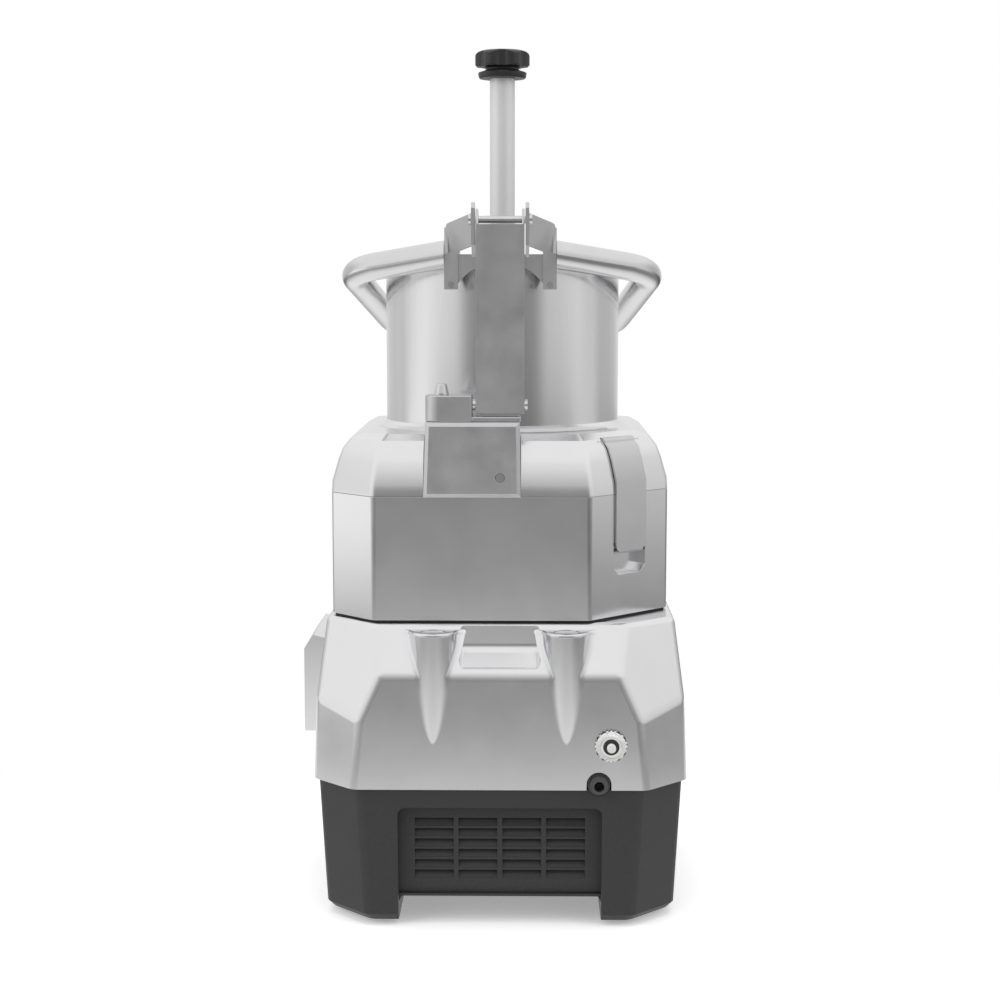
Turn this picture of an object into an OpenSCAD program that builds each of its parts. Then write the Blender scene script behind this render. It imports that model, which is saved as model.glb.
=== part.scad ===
// Continuous-feed food processor: cast base, bowl and swing-away feed head with a lever pusher.
// Z is up, Z = 0 is the floor, the spindle axis is X = Y = 0, and -Y is the rear of the machine.

/* [Base shell] */
// Width of the cast shell at its lower edge
shell_w = 306; // [296:1:320]
// Width of the shell at its deck
shell_top_w = 285; // [280:1:292]
// Distance from the spindle axis to the rear lower edge
shell_back = 167; // [162:1:175]
// Distance from the spindle axis to the front lower edge
shell_front = 150; // [146:1:160]
// Height of the shell
shell_h = 131; // [125:1:140]
// Width of the corner facet along X at the lower edge
shell_corner_w = 35; // [28:1:42]
// Length of the corner facet along Y at the lower edge
shell_corner_l = 36; // [28:1:42]
// Height of the knee where the big corner facet starts
knee_h = 55.5; // [48:1:62]
// Height of the brow where the rear slope starts
brow_h = 91; // [84:1:98]
// Wall of the shell
shell_wall = 6; // [4:0.5:8]
// Thickness of the shell deck
deck_t = 7; // [6:0.5:9]
// Diameter of the two screw pillars at the rear
pillar_d = 37; // [32:1:40]
// Distance between the two screw pillars
pillar_gap = 107; // [100:1:114]
// Width of the finger notch between the pillars
notch_w = 66; // [50:1:70]
// Depth of the finger notch below the deck
notch_h = 21; // [16:1:26]

/* [Skirt] */
// Height of the skirt above the tips of its legs
skirt_h = 111; // [100:1:120]
// Wall of the skirt
skirt_wall = 4; // [3:0.5:6]
// Set-back of the skirt behind the lower edge of the shell
skirt_inset = 4; // [2:0.5:6]
// Inward taper of the skirt over its height
skirt_taper = 6; // [2:0.5:9]
// Width of the opening between the legs
arch_w = 164; // [150:1:176]
// Height of the opening under the bottom plate, above the leg tips
arch_h = 20; // [14:1:24]
// Height of the louvred recess at the rear, above the leg tips
recess_h = 95; // [85:1:98]
// Depth of the louvred recess behind the skirt face
recess_l = 12; // [8:1:16]
// Thickness of the louvre panel
grille_t = 3; // [2:0.5:5]
// Rows of louvres
louvre_rows = 6; // [4:1:8]
// Columns of louvres
louvre_cols = 4; // [2:1:5]
// Height of the rubber feet below the leg tips
foot_h = 4; // [3:0.5:8]
// Diameter of the rubber feet
foot_d = 22; // [18:1:26]
// Thickness of the bottom plate
plate_t = 2; // [1.5:0.5:4]

/* [Bowl] */
// Width of the bowl
bowl_w = 277; // [272:1:280]
// Distance from the hinge pin to the rear face of the bowl
pin_cover = 10; // [8:1:12]
// Distance from the axis to the front face of the bowl
bowl_front = 132; // [128:1:136]
// Height of the bowl
bowl_h = 100; // [90:1:110]
// Length of the corner cut without the latch, along X
plain_cut = 36; // [30:1:42]
// Length of the corner cut under the latch, along X
latch_cut = 66; // [60:1:70]
// Rounding of the upright corners of bowl and cover
corner_r = 8; // [4:1:10]
// Gap between the cutting disc and the chamber wall
chamber_gap = 4.5; // [3:0.5:6]
// Thickness of the bowl floor
bowl_floor = 14; // [10:1:18]
// Thickness of the gasket between bowl and base
gasket_t = 1.7; // [1:0.1:3]
// Width of the discharge opening at the front
chute_w = 170; // [150:1:176]
// Reach of the discharge chute in front of the bowl
chute_l = 88; // [70:1:110]
// Drop of the discharge chute
chute_drop = 70; // [50:1:90]
// Wall of the discharge chute
chute_wall = 4; // [3:0.5:5]

/* [Cover] */
// Height of the cover above the seam
cover_h = 48.5; // [44:0.5:54]
// Height of the upright band above the seam
cover_band = 9; // [6:0.5:12]
// Inset of the cover at its shoulder
shoulder_in = 9; // [6:0.5:12]
// Inset of the cover at its top
top_in = 24; // [20:0.5:26]
// Wall of the bowl and cover castings
cast_wall = 6; // [4:0.5:8]
// Height of the fillet ring at the foot of the hopper
ring_h = 5; // [3:0.5:8]
// Width of the fillet ring at the foot of the hopper
ring_w = 9; // [6:0.5:10]

/* [Hopper] */
// Outer diameter of the feed hopper
hopper_d = 200; // [196:1:202]
// Wall of the feed hopper
hopper_wall = 1.5; // [1:0.1:2.5]
// Height of the hopper above the cover
hopper_h = 143; // [130:1:150]

/* [Hinge] */
// Distance of the hinge pin from the axis along X
hinge_x = 47; // [44:1:50]
// Distance of the hinge pin and the column pins behind the hopper
hinge_gap = 30; // [29:1:32]
// Diameter of the hinge pin
hinge_pin_d = 12; // [10:0.5:14]
// Width of the hinge box
box_w = 78; // [74:1:82]
// Height of the hinge box
box_h = 60; // [56:1:64]
// Distance from the hinge pin to the face of the hinge box
box_cover = 17; // [15:0.5:20]
// Height of the hinge block on the box
block_h = 21; // [19:1:24]
// Height of the cone tip of the hinge pin above the block
cone_h = 9; // [6:1:12]
// Swing clearance between the cover and the bowl
seam_gap = 0.3; // [0.2:0.05:0.5]

/* [Column] */
// Width of the column
column_w = 38.6; // [36:0.2:42]
// Depth of the column channel
column_l = 21; // [18:1:24]
// Sheet thickness of the column
column_t = 2; // [1.5:0.1:3]
// Distance between the lower and the upper pin
column_h = 146.7; // [140:0.1:152]
// Diameter of the column pins
column_pin_d = 6; // [5:0.5:8]

/* [Lever] */
// Drop of the pusher crosshead below the lever pin
crosshead_drop = 57.9; // [52:0.1:60]
// Lift angle of the lever, measured against the floor
lever_lift = 46; // [40:1:48]
// Backward swing of the column over the whole lift
column_swing = 6; // [5:0.5:7]
// Thickness of the yoke plates
yoke_t = 3; // [2:0.5:4]
// Width over the two legs of the yoke
yoke_w = 90; // [88:1:94]
// Width of the fork arms that reach into the hopper
arm_h = 19; // [18:0.5:21]
// Thickness of the fork arms
arm_t = 4; // [3:0.5:5]
// Side play of the crosshead pins in the slots
slot_play = 3.9; // [3.7:0.1:4.5]
// Diameter of the handle tube
handle_d = 22.6; // [20:0.2:24]
// Wall of the handle tube
handle_wall = 1.5; // [1:0.1:2.5]
// Distance from the hopper to the handle's rear corners, along X
handle_out = 26; // [22:1:30]
// Narrowing of the handle from its rear to its front corners, each side
handle_narrow = 28; // [20:1:34]
// Distance from the hopper to the handle's front bar, along Y
handle_front = 64.5; // [56:0.5:72]
// Set-back of the handle's rear corners from its ends
handle_corner_l = 52; // [46:1:58]
// Downward slope of the handle
handle_slope = 14; // [12:0.5:16]
// Bend radius of the handle corners
handle_bend_r = 45; // [36:1:50]

/* [Pusher] */
// Gap between the pusher plate and the hopper
pusher_gap = 1; // [0.5:0.1:2]
// Height of the pusher plate
pusher_h = 14; // [10:1:20]
// Outer diameter of the inner feed tube
tube_d = 64; // [60:1:65]
// Wall of the inner feed tube
tube_wall = 3; // [2:0.5:4]
// Height of the cap on the inner feed tube
cap_h = 8; // [6:1:12]
// Diameter of the crosshead pins
crosshead_d = 10; // [8:0.5:10]
// Diameter of the small pusher's rod
rod_d = 21.4; // [18:0.2:22]
// Length of the small pusher's rod above the upper pin of the lever
rod_above = 122.5; // [110:0.5:130]
// Height of the knob above the rod
knob_h = 24.4; // [20:0.2:28]
// Diameter of the knob
knob_d = 46.4; // [40:0.2:50]
// Travel of the small pusher
rod_travel = 130; // [110:1:132]
// Height of the piston on the rod
piston_h = 14; // [10:1:18]

/* [Latch] */
// Width of the latch strap
latch_w = 36; // [32:1:38]
// Thickness of the latch strap
latch_t = 2; // [1.5:0.1:3]
// Length of the strap below the seam
latch_low = 47; // [40:1:52]
// Depth of the finger recess below the strap
recess_low = 19; // [14:1:24]
// Depth of the finger recess into the bowl
recess_deep = 9; // [6:1:10]

/* [Drive] */
// Diameter of the spindle
spindle_d = 20; // [16:0.5:22]
// Diameter of the cutting disc
disc_d = 205; // [200:1:207]
// Thickness of the cutting disc
disc_t = 3; // [2:0.5:4]
// Thickness of the ejector disc
ejector_t = 7; // [5:1:10]
// Height of the ejector vanes
vane_h = 22; // [15:1:28]
// Outer diameter of the spindle bearings
bearing_d = 47; // [42:1:52]
// Height of each spindle bearing
bearing_h = 14; // [10:1:16]
// Distance between the spindle and the motor shaft
centre_gap = 85; // [82:1:88]
// Pitch diameter of the large pulley
big_pulley_d = 112; // [100:1:116]
// Speed ratio of the belt drive
belt_ratio = 3.9; // [3.5:0.1:4.2]
// Width of the belt
belt_w = 16; // [12:1:20]
// Thickness of the belt
belt_t = 3; // [2:0.5:4]
// Diameter of the motor
motor_d = 118; // [110:1:119]
// Height of the motor
motor_h = 112; // [100:1:116]
// Diameter of the motor shaft
motor_shaft_d = 14; // [12:0.5:16]
// Diameter of the cooling fan
fan_d = 104; // [90:1:110]

/* [Controls] */
// Width of the side console along Y
console_w = 104; // [90:1:116]
// Height of the side console
console_h = 84; // [76:1:90]
// Reach of the console beyond the lower edge of the shell
console_out = 16; // [12:1:19]
// Diameter of the start and stop buttons
button_d = 22; // [18:1:26]
// Travel of the start and stop buttons
button_travel = 3; // [2:0.5:4]
// Distance of the protector button from the axis along X
reset_x = 89; // [84:1:92]
// Height of the protector button above the lower edge of the shell
reset_h = 36; // [32:1:42]
// Diameter of the ribbed bezel round the protector button
bezel_d = 26; // [22:1:30]
// Travel of the protector button
reset_travel = 2.5; // [2:0.5:4]
// Distance of the cable gland from the axis along X
gland_x = 79.5; // [76:0.5:84]
// Diameter of the cable gland
gland_d = 15; // [12:0.5:17]
// Bore of the cable gland
gland_bore = 8; // [6:0.5:9]

/* [Hidden] */
$fn = 64;

// Clearances: a seat inside one body, a running fit, and a free gap between bodies
seat = 0.1;
run_fit = 0.05;
free_gap = 0.4;
eps = 0.01;

// Heights of the main joints between the pieces
leg_z = foot_h;
skirt_top = leg_z + skirt_h;
shell_z = skirt_top + 0.4;
deck_z = shell_z + shell_h;
bowl_z = deck_z + gasket_t;
seam_z = bowl_z + bowl_h;
cover_z = seam_z + seam_gap;
cover_top = cover_z + cover_h;
rim_z = cover_top + hopper_h;
box_top = cover_z + box_h;
block_z = box_top + seat;
block_top = block_z + block_h;
lower_pin_z = block_z + 13;
upper_pin_z = lower_pin_z + column_h;
crosshead_z = upper_pin_z - crosshead_drop;

// Places that follow the hopper, the disc and the shell
hinge_y = hopper_d / 2 + hinge_gap;
box_back = hinge_y + box_cover;
bowl_back = hinge_y + pin_cover;
chamber_d = disc_d + 2 * chamber_gap;
console_x = shell_w / 2 + console_out;

// Metals and plastics
alu = [0.78, 0.78, 0.79];
steel = [0.72, 0.73, 0.74];
satin = [0.62, 0.62, 0.63];
dark = [0.22, 0.22, 0.23];
black = [0.08, 0.08, 0.08];

// Geometry helpers: rounded outlines, inset outlines and lofts between outlines
function unit(v) = v / norm(v);
function turn(a, p, b) = acos(unit(a - p) * unit(b - p)) / 2;
function fillet(a, p, b, r, n) =
    let (h = turn(a, p, b), c = p + unit(unit(a - p) + unit(b - p)) * r / sin(h))
    let (e = unit(p + unit(a - p) * r / tan(h) - c), q = p + unit(b - p) * r / tan(h) - c)
    let (g = unit(q - (q * e) * e), s = 180 - 2 * h)
    [for (i = [0:n]) c + r * (cos(s * i / n) * e + sin(s * i / n) * g)];
function before(p, i) = p[(i + len(p) - 1) % len(p)];
function after(p, i) = p[(i + 1) % len(p)];
function rounded(p, r, n = 3) =
    [for (i = [0:len(p) - 1]) each fillet(before(p, i), p[i], after(p, i), r, n)];
function inset(p, d) =
    [for (i = [0:len(p) - 1])
        p[i] + unit(unit(before(p, i) - p[i]) + unit(after(p, i) - p[i]))
            * d / sin(turn(before(p, i), p[i], after(p, i)))];
function lift(p, z) = [for (q = p) [q.x, q.y, z]];
function ring_faces(n, k) =
    [for (j = [0:k - 2]) for (i = [0:n - 1]) for (t = [0, 1])
        t == 0
            ? [j * n + i, (j + 1) * n + (i + 1) % n, j * n + (i + 1) % n]
            : [j * n + i, (j + 1) * n + i, (j + 1) * n + (i + 1) % n]];

// Solid between stacked outlines of equal point count, from the lowest up
module loft(levels) {
    n = len(levels[0]);
    k = len(levels);
    low = [for (i = [0:n - 1]) i];
    high = [for (i = [n - 1:-1:0]) (k - 1) * n + i];
    polyhedron(points = [for (l = levels) each l], faces = concat([low, high], ring_faces(n, k)));
}

// Convex solid round a list of corner points
module faceted(points) {
    hull() polyhedron(points = points, faces = [[for (i = [0:len(points) - 1]) i]]);
}

// Both sides of the machine
module mirrored() {
    children();
    mirror([1, 0, 0]) children();
}

// Cylinder along X, centred, and along -Y from its rear end
module rod_x(d, l) {
    rotate([0, 90, 0]) cylinder(d = d, h = l, center = true);
}
module rod_y(d, l) {
    rotate([-90, 0, 0]) cylinder(d = d, h = l);
}

// Plate in the YZ plane, from x outwards
module plate_yz(x, t) {
    translate([x, 0, 0]) rotate([90, 0, 90]) linear_extrude(height = t) children();
}

// Plate in the XZ plane, from y towards the front
module plate_xz(y, t) {
    translate([0, y + t, 0]) rotate([90, 0, 0]) linear_extrude(height = t) children();
}

// Base shell corners for one side: lower edge, knee, brow and deck, drawn in by t.
// The big corner facet is flat: knee, brow and side points all lie in the plane of a, b and d
deck_back = bowl_back + 1;
deck_front = bowl_front + 5;
deck_cut_w = 41;
deck_cut_l = 30;
side_lean = 3;
face_slope = 0.07;
function facet_y(back, t) = back - face_slope * brow_h - t;
function facet_x(a, n, y) = a.x - (n.y * (y - a.y) + n.z * (brow_h - a.z)) / n.x;
function facet_side(a, n, x) = a.y - (n.x * (x - a.x) + n.z * (side_h - a.z)) / n.y;
function shell_side(s, f, back, deck, t) =
    let (a = [shell_top_w / 2 - t, deck - deck_cut_l - t, shell_h])
    let (b = [shell_top_w / 2 - deck_cut_w - t, deck - t, shell_h])
    let (d = [shell_w / 2 - 1.15 * shell_corner_w - t, back - face_slope * knee_h - t, knee_h])
    let (n = cross(b - a, d - a), y = facet_y(back, t), x = shell_w / 2 - side_lean - t)
    [for (q = [[shell_w / 2 - shell_corner_w - t, back - t, 0],
        [shell_w / 2 - t, back - shell_corner_l - t, 0],
        d, [x, facet_side(a, n, x), side_h], [facet_x(a, n, y), y, brow_h], b, a])
        [s * q.x, f * q.y, q.z]];
function shell_points(t) = [
    for (s = [-1, 1]) for (e = [[-1, shell_back, deck_back], [1, shell_front, deck_front]])
        each shell_side(s, e[0], e[1], e[2], t)];
function lowered(p, drop) = [for (q = p) [q.x, q.y, q.z > 0 ? q.z - drop : q.z - 1]];

// The rear pillars stand a little proud of the rear face
pillar_y = -(shell_back - 2 - pillar_d / 2);
pillar_top = deck_z - 5;
pillar_disc_d = 20;
pillar_disc_y = pillar_y - pillar_d / 2 + pillar_disc_d / 2 + 1;
reset_z = shell_z + reset_h;
reset_y = -(shell_back - face_slope * (reset_h + bezel_d / 2));
protector_y = reset_y + shell_wall + face_slope * bezel_d;
gland_z = shell_z + 4.5;
gland_notch_d = 20;
console_z = shell_z + 20;
console_in = min(shell_w, shell_top_w) / 2 - 14;
window_top = console_z + console_h - 12;
side_h = knee_h + 12.5;
function side_x(z) =
    let (low = shell_w / 2 - side_lean)
    low - (low - shell_top_w / 2) * (z - shell_z - side_h) / (shell_h - side_h);

module base_shell() {
    color(alu) difference() {
        union() {
            translate([0, 0, shell_z]) faceted(shell_points(0));
            intersection() {
                mirrored() translate([pillar_gap / 2, pillar_y, shell_z])
                    cylinder(d = pillar_d, h = pillar_top - shell_z);
                translate([-shell_w / 2, -shell_back, shell_z])
                    cube([shell_w, shell_back, shell_h]);
            }
        }
        difference() {
            translate([0, 0, shell_z]) faceted(lowered(shell_points(shell_wall), deck_t));
            notch(shell_wall);
        }
        notch(0);
        // spindle bore and screws of its housing
        translate([0, 0, deck_z - deck_t - 1]) cylinder(d = housing_d + 2 * seat, h = deck_t + 2);
        // holes at the rear for the protector and the gland
        translate([reset_x, -shell_back - 1, reset_z]) rod_y(protector_neck_d + 2 * seat, 30);
        translate([reset_x, -shell_back - 1, reset_z]) rod_y(bezel_d + 1, shell_back + 1 + reset_y);
        translate([gland_x, -shell_back - 1, gland_z]) rod_y(gland_notch_d, 20);
        translate([gland_x - gland_notch_d / 2, -shell_back - 1, shell_z - 1])
            cube([gland_notch_d, 20, gland_z - shell_z + 1]);
        // window of the side console
        translate([-shell_w / 2 - 1, -console_w / 2, console_z])
            cube([shell_w / 2 - console_in, console_w, window_top - console_z]);
        pillar_holes();
    }
}

// Finger notch between the pillars, grown by t for the wall behind it
module notch(t) {
    plate_yz(-notch_w / 2 - t, notch_w + 2 * t) polygon([
        [-deck_back - 0.5 + t, deck_z + 1], [-deck_back - 0.5 + t, deck_z - notch_h - t],
        [-shell_back + 8 + t, deck_z - notch_h - 15 - t], [-shell_back - 1, deck_z - notch_h - 15 - t],
        [-shell_back - 1, deck_z + 1]]);
}

// Blind screw holes in the pillar tops
module pillar_holes() {
    mirrored() translate([pillar_gap / 2, pillar_disc_y, pillar_top - 4])
        cylinder(d = pillar_disc_d + 0.6, h = 4 + eps);
}

// Skirt outline at the height z above the leg tips
function skirt_half(z) = shell_w / 2 - skirt_inset - skirt_taper * (1 - z / skirt_h);
function skirt_back(z) = shell_back - skirt_inset - skirt_taper * (1 - z / skirt_h) / 2;
function skirt_front(z) = shell_front - skirt_inset - skirt_taper * (1 - z / skirt_h) / 2;
function skirt_outline(z, t) = inset([
    [skirt_half(z), -skirt_back(z) + shell_corner_l],
    [skirt_half(z), skirt_front(z) - shell_corner_l],
    [skirt_half(z) - shell_corner_w, skirt_front(z)],
    [-skirt_half(z) + shell_corner_w, skirt_front(z)],
    [-skirt_half(z), skirt_front(z) - shell_corner_l],
    [-skirt_half(z), -skirt_back(z) + shell_corner_l],
    [-skirt_half(z) + shell_corner_w, -skirt_back(z)],
    [skirt_half(z) - shell_corner_w, -skirt_back(z)]], t);
grille_y = -(skirt_back(skirt_h) - recess_l);
plate_z = leg_z + arch_h;
pad_h = 12;

module shell_skirt() {
    color(dark) difference() {
        union() {
            loft([lift(skirt_outline(arch_h, 0), plate_z), lift(skirt_outline(skirt_h, 0), skirt_top)]);
            // tongue that closes the notch behind the gland
            translate([gland_x, -skirt_back(skirt_h) + 0.5, gland_z])
                rod_y(gland_notch_d - 2, skirt_wall);
            translate([gland_x - gland_notch_d / 2 + 1, -skirt_back(skirt_h) + 0.5, skirt_top - 2])
                cube([gland_notch_d - 2, skirt_wall, gland_z - skirt_top + 2]);
        }
        // inside of the skirt
        loft([lift(skirt_outline(arch_h, skirt_wall + 1), plate_z - 1),
            lift(skirt_outline(skirt_h, skirt_wall + 1), skirt_top + eps)]);
        // recess of the louvre panel
        translate([-arch_w / 2, -shell_back, leg_z - 1])
            cube([arch_w, shell_back + grille_y - seat, recess_h + 1]);
        translate([-arch_w / 2 - 6, grille_y - seat, plate_z + plate_t + seat])
            cube([arch_w + 12, grille_t + 2 * seat, recess_h - arch_h + 4]);
        // seat of the gland flange, and the slot that its neck drops into
        translate([gland_x, -shell_back, gland_z]) rod_y(gland_notch_d, shell_back + gland_face_y);
        translate([gland_x, -shell_back, gland_z]) rod_y(gland_neck_d + 2 * seat, 20);
        translate([gland_x - gland_neck_d / 2 - seat, -shell_back, gland_z])
            cube([gland_neck_d + 2 * seat, 20, gland_notch_d]);
    }
}

// Four leg blocks under the skirt, with the openings between them
module skirt_legs() {
    color(dark) difference() {
        loft([lift(skirt_outline(0, 5), leg_z), lift(skirt_outline(6, 0), leg_z + 6),
            lift(skirt_outline(arch_h, 0), plate_z)]);
        translate([-arch_w / 2, -shell_back, leg_z - 1]) cube([arch_w, shell_back + shell_front, arch_h + 2]);
        translate([-shell_w / 2, -arch_w / 2 + 8, leg_z - 1]) cube([shell_w, arch_w - 16, arch_h + 2]);
        foot_sites() translate([0, 0, leg_z - 1]) cylinder(d = 6 + 2 * seat, h = pad_h + 1);
        plate_screw_sites() translate([0, 0, plate_z - 9]) cylinder(d = 4.2, h = 10);
    }
}

// Feet and plate screws sit in the leg blocks
foot_in = 35;
leg_x = shell_w / 2 - skirt_inset - skirt_taper - foot_in;
leg_back_y = -(shell_back - skirt_inset - skirt_taper - foot_in);
leg_front_y = shell_front - skirt_inset - skirt_taper - foot_in;
module foot_sites() {
    for (x = [-leg_x, leg_x])
        for (y = [leg_back_y, leg_front_y])
            translate([x, y, 0]) children();
}
module plate_screw_sites() {
    for (x = [-arch_w / 2 - 12, arch_w / 2 + 12])
        for (y = [leg_back_y + 24, leg_front_y - 18])
            translate([x, y, 0]) children();
}

module bottom_plate() {
    color(steel) difference() {
        translate([0, 0, plate_z]) linear_extrude(height = plate_t)
            polygon(skirt_outline(arch_h, skirt_wall + 1.5));
        plate_screw_sites() translate([0, 0, plate_z - 1]) cylinder(d = 4.2, h = plate_t + 2);
        for (x = [-45:15:45])
            translate([x - 3, 10, plate_z - 1]) cube([6, 70, plate_t + 2]);
    }
}

// Louvre openings share one grid; each has a slanted blade
louvre_w = arch_w - 22;
louvre_z = leg_z + 33;
louvre_h = 52;
louvre_pitch = louvre_h / louvre_rows;
louvre_cell = louvre_w / louvre_cols;
function row_z(r) = louvre_z + r * louvre_pitch + 1;
module rear_grille() {
    color(dark) {
        difference() {
            translate([-arch_w / 2 - 5, grille_y, plate_z + plate_t + 2 * seat])
                cube([arch_w + 10, grille_t, recess_h - arch_h - plate_t + 2]);
            for (r = [0:louvre_rows - 1]) for (c = [0:louvre_cols - 1])
                translate([-louvre_w / 2 + c * louvre_cell + 2, grille_y - 1, row_z(r)])
                    cube([louvre_cell - 4, grille_t + 2, louvre_pitch - 2]);
        }
        for (r = [0:louvre_rows - 1])
            translate([0, 0, row_z(r)])
                plate_yz(-louvre_w / 2, louvre_w) polygon([
                    [grille_y + 0.6, 0], [grille_y + 1.6, 0],
                    [grille_y + grille_t + 2.4, louvre_pitch - 3],
                    [grille_y + grille_t + 1.4, louvre_pitch - 3]]);
    }
}

module rubber_feet() {
    color(black) foot_sites() {
        translate([0, 0, 0]) cylinder(d1 = foot_d - 3, d2 = foot_d, h = foot_h - seat);
        translate([0, 0, foot_h - seat - eps]) cylinder(d = 6, h = pad_h - 1);
    }
}

module case_screws() {
    color(steel) {
        plate_screw_sites() {
            translate([0, 0, plate_z + plate_t + seat]) cylinder(d = 8, h = 2.2);
            translate([0, 0, plate_z - 8]) cylinder(d = 4, h = plate_t + 8 + seat + eps);
        }
        mirrored() translate([pillar_gap / 2, pillar_disc_y, pillar_top - 4 + seat])
            cylinder(d = pillar_disc_d, h = 3.4);
    }
}

// Bowl and cover share one outline, with the long cut under the latch
bowl_outline = [
    [bowl_w / 2, -bowl_back + latch_cut], [bowl_w / 2, bowl_front - 40],
    [bowl_w / 2 - 42, bowl_front], [-bowl_w / 2 + 42, bowl_front],
    [-bowl_w / 2, bowl_front - 40], [-bowl_w / 2, -bowl_back + plain_cut],
    [-bowl_w / 2 + plain_cut, -bowl_back], [bowl_w / 2 - latch_cut, -bowl_back]];
floor_z = bowl_z + bowl_floor;
boss_d = 44;
boss_top = floor_z + 3;
outlet_top = seam_z - 12;
chamber_r = chamber_d / 2;
pin_boss_d = 24;
pin_low = seam_z - 46;
recess_half = latch_w / 2 + 1;
recess_z = seam_z - latch_low - recess_low;
latch_mid = [bowl_w / 2 - latch_cut / 2, -bowl_back + latch_cut / 2];

// Children drawn with Y inwards from the latch face and X along it
module at_latch() {
    translate([latch_mid.x, latch_mid.y, 0]) rotate([0, 0, 45]) children();
}

module bowl_gasket() {
    color(black) translate([0, 0, deck_z]) linear_extrude(height = gasket_t) difference() {
        polygon(rounded(inset(bowl_outline, 2), corner_r - 2));
        polygon(rounded(inset(bowl_outline, 14), corner_r));
    }
}

module bowl() {
    color(alu) difference() {
        translate([0, 0, bowl_z]) linear_extrude(height = bowl_h)
            polygon(rounded(bowl_outline, corner_r));
        difference() {
            union() {
                translate([0, 0, floor_z]) cylinder(d = chamber_d, h = bowl_h);
                translate([-chute_w / 2, 0, floor_z])
                    cube([chute_w, bowl_front + 1, outlet_top - floor_z]);
            }
            translate([0, 0, bowl_z]) cylinder(d = boss_d, h = boss_top - bowl_z);
            translate([-hinge_x, -hinge_y, bowl_z]) cylinder(d = pin_boss_d, h = bowl_h);
        }
        bowl_pockets();
        translate([0, 0, bowl_z - 1]) cylinder(d = spindle_d + 2, h = bowl_h);
        translate([0, 0, boss_top - seal_h]) cylinder(d = seal_d + 2 * seat, h = bowl_h);
        translate([0, 0, bowl_z - 1]) cylinder(d = housing_d - 6, h = 5);
        translate([-hinge_x, -hinge_y, pin_low]) cylinder(d = hinge_pin_d + 2 * run_fit, h = bowl_h);
        // finger recess under the latch strap
        at_latch() plate_xz(-1, recess_deep + 1) polygon([
            [-recess_half, recess_z + 6], [-recess_half + 5.5, recess_z], [recess_half - 5.5, recess_z],
            [recess_half, recess_z + 6], [recess_half, recess_z + recess_low + 8],
            [-recess_half, recess_z + recess_low + 8]]);
    }
}

// Hollow corners, open below, between the outer wall and the chamber wall
module bowl_pockets() {
    difference() {
        translate([0, 0, bowl_z - 1]) linear_extrude(height = bowl_h + 1 - cast_wall)
            polygon(inset(bowl_outline, cast_wall));
        translate([0, 0, bowl_z - 2]) cylinder(r = chamber_r + cast_wall, h = bowl_h + 2);
        translate([-chute_w / 2 - cast_wall, 0, bowl_z - 2])
            cube([chute_w + 2 * cast_wall, bowl_front, bowl_h + 2]);
        translate([-hinge_x, -hinge_y, bowl_z - 2]) cylinder(d = pin_boss_d + 10, h = bowl_h + 2);
        at_latch() translate([-latch_w / 2 - cast_wall, -1, bowl_z - 2])
            cube([latch_w + 2 * cast_wall, recess_deep + cast_wall, bowl_h + 2]);
    }
}

module discharge_chute() {
    z0 = floor_z - chute_wall;
    z1 = outlet_top + chute_wall;
    y0 = bowl_front + seat;
    y1 = y0 + chute_l;
    w = chute_w + 2 * chute_wall;
    color(alu) difference() {
        plate_yz(-w / 2, w) polygon([
            [y0, z0], [y0 + 20, z0], [y1 - 40, z0 - chute_drop], [y1, z0 - chute_drop],
            [y1, z1 - 40], [y1 - 26, z1], [y0, z1]]);
        plate_yz(-chute_w / 2, chute_w) polygon([
            [y0 - 1, z0 + chute_wall], [y0 + 22, z0 + chute_wall],
            [y1 - 40 + chute_wall, z0 - chute_drop + 1], [y1 - 40 + chute_wall, z0 - chute_drop - 1],
            [y1 - chute_wall, z0 - chute_drop - 1], [y1 - chute_wall, z1 - 42],
            [y1 - 28, z1 - chute_wall], [y0 - 1, z1 - chute_wall]]);
    }
}

module latch_keeper() {
    color(steel) at_latch()
        translate([-latch_w / 2, 1, seam_z - latch_low - 2]) difference() {
            cube([latch_w, recess_deep - 1 - seat, 2]);
            translate([5, 1.5, -1]) cube([latch_w - 10, 3, 4]);
        }
}

module hinge_pin() {
    color(steel) translate([-hinge_x, -hinge_y, 0]) {
        translate([0, 0, pin_low + 0.2]) cylinder(d = hinge_pin_d, h = block_top - pin_low - 0.2);
        translate([0, 0, block_top]) cylinder(d1 = hinge_pin_d, d2 = 8, h = cone_h);
    }
}

// Gland: a flange in the notch, a neck in the slot of the skirt tongue and a nut inside
gland_neck_d = gland_d - 3;
gland_face_y = -skirt_back(skirt_h) + 0.5;
gland_thread_l = 18;
module cable_gland() {
    color(black) difference() {
        union() {
            translate([gland_x, gland_face_y - 11, gland_z]) rod_y(gland_d - 2, 3);
            translate([gland_x, gland_face_y - 8, gland_z]) rod_y(gland_d, 8 - seat);
            translate([gland_x, gland_face_y - 1.5, gland_z]) rod_y(gland_notch_d - 1.2, 1.5 - seat);
            translate([gland_x, gland_face_y - 1, gland_z]) rod_y(gland_neck_d, gland_thread_l);
        }
        translate([gland_x, gland_face_y - 12, gland_z]) rod_y(gland_bore, gland_thread_l + 20);
    }
}
module gland_nut() {
    color(black) difference() {
        translate([gland_x, gland_face_y + skirt_wall + 0.8, gland_z]) rod_y(gland_d + 4, 5);
        translate([gland_x, gland_face_y, gland_z]) rod_y(gland_neck_d + 2 * run_fit, 20);
    }
}

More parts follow.
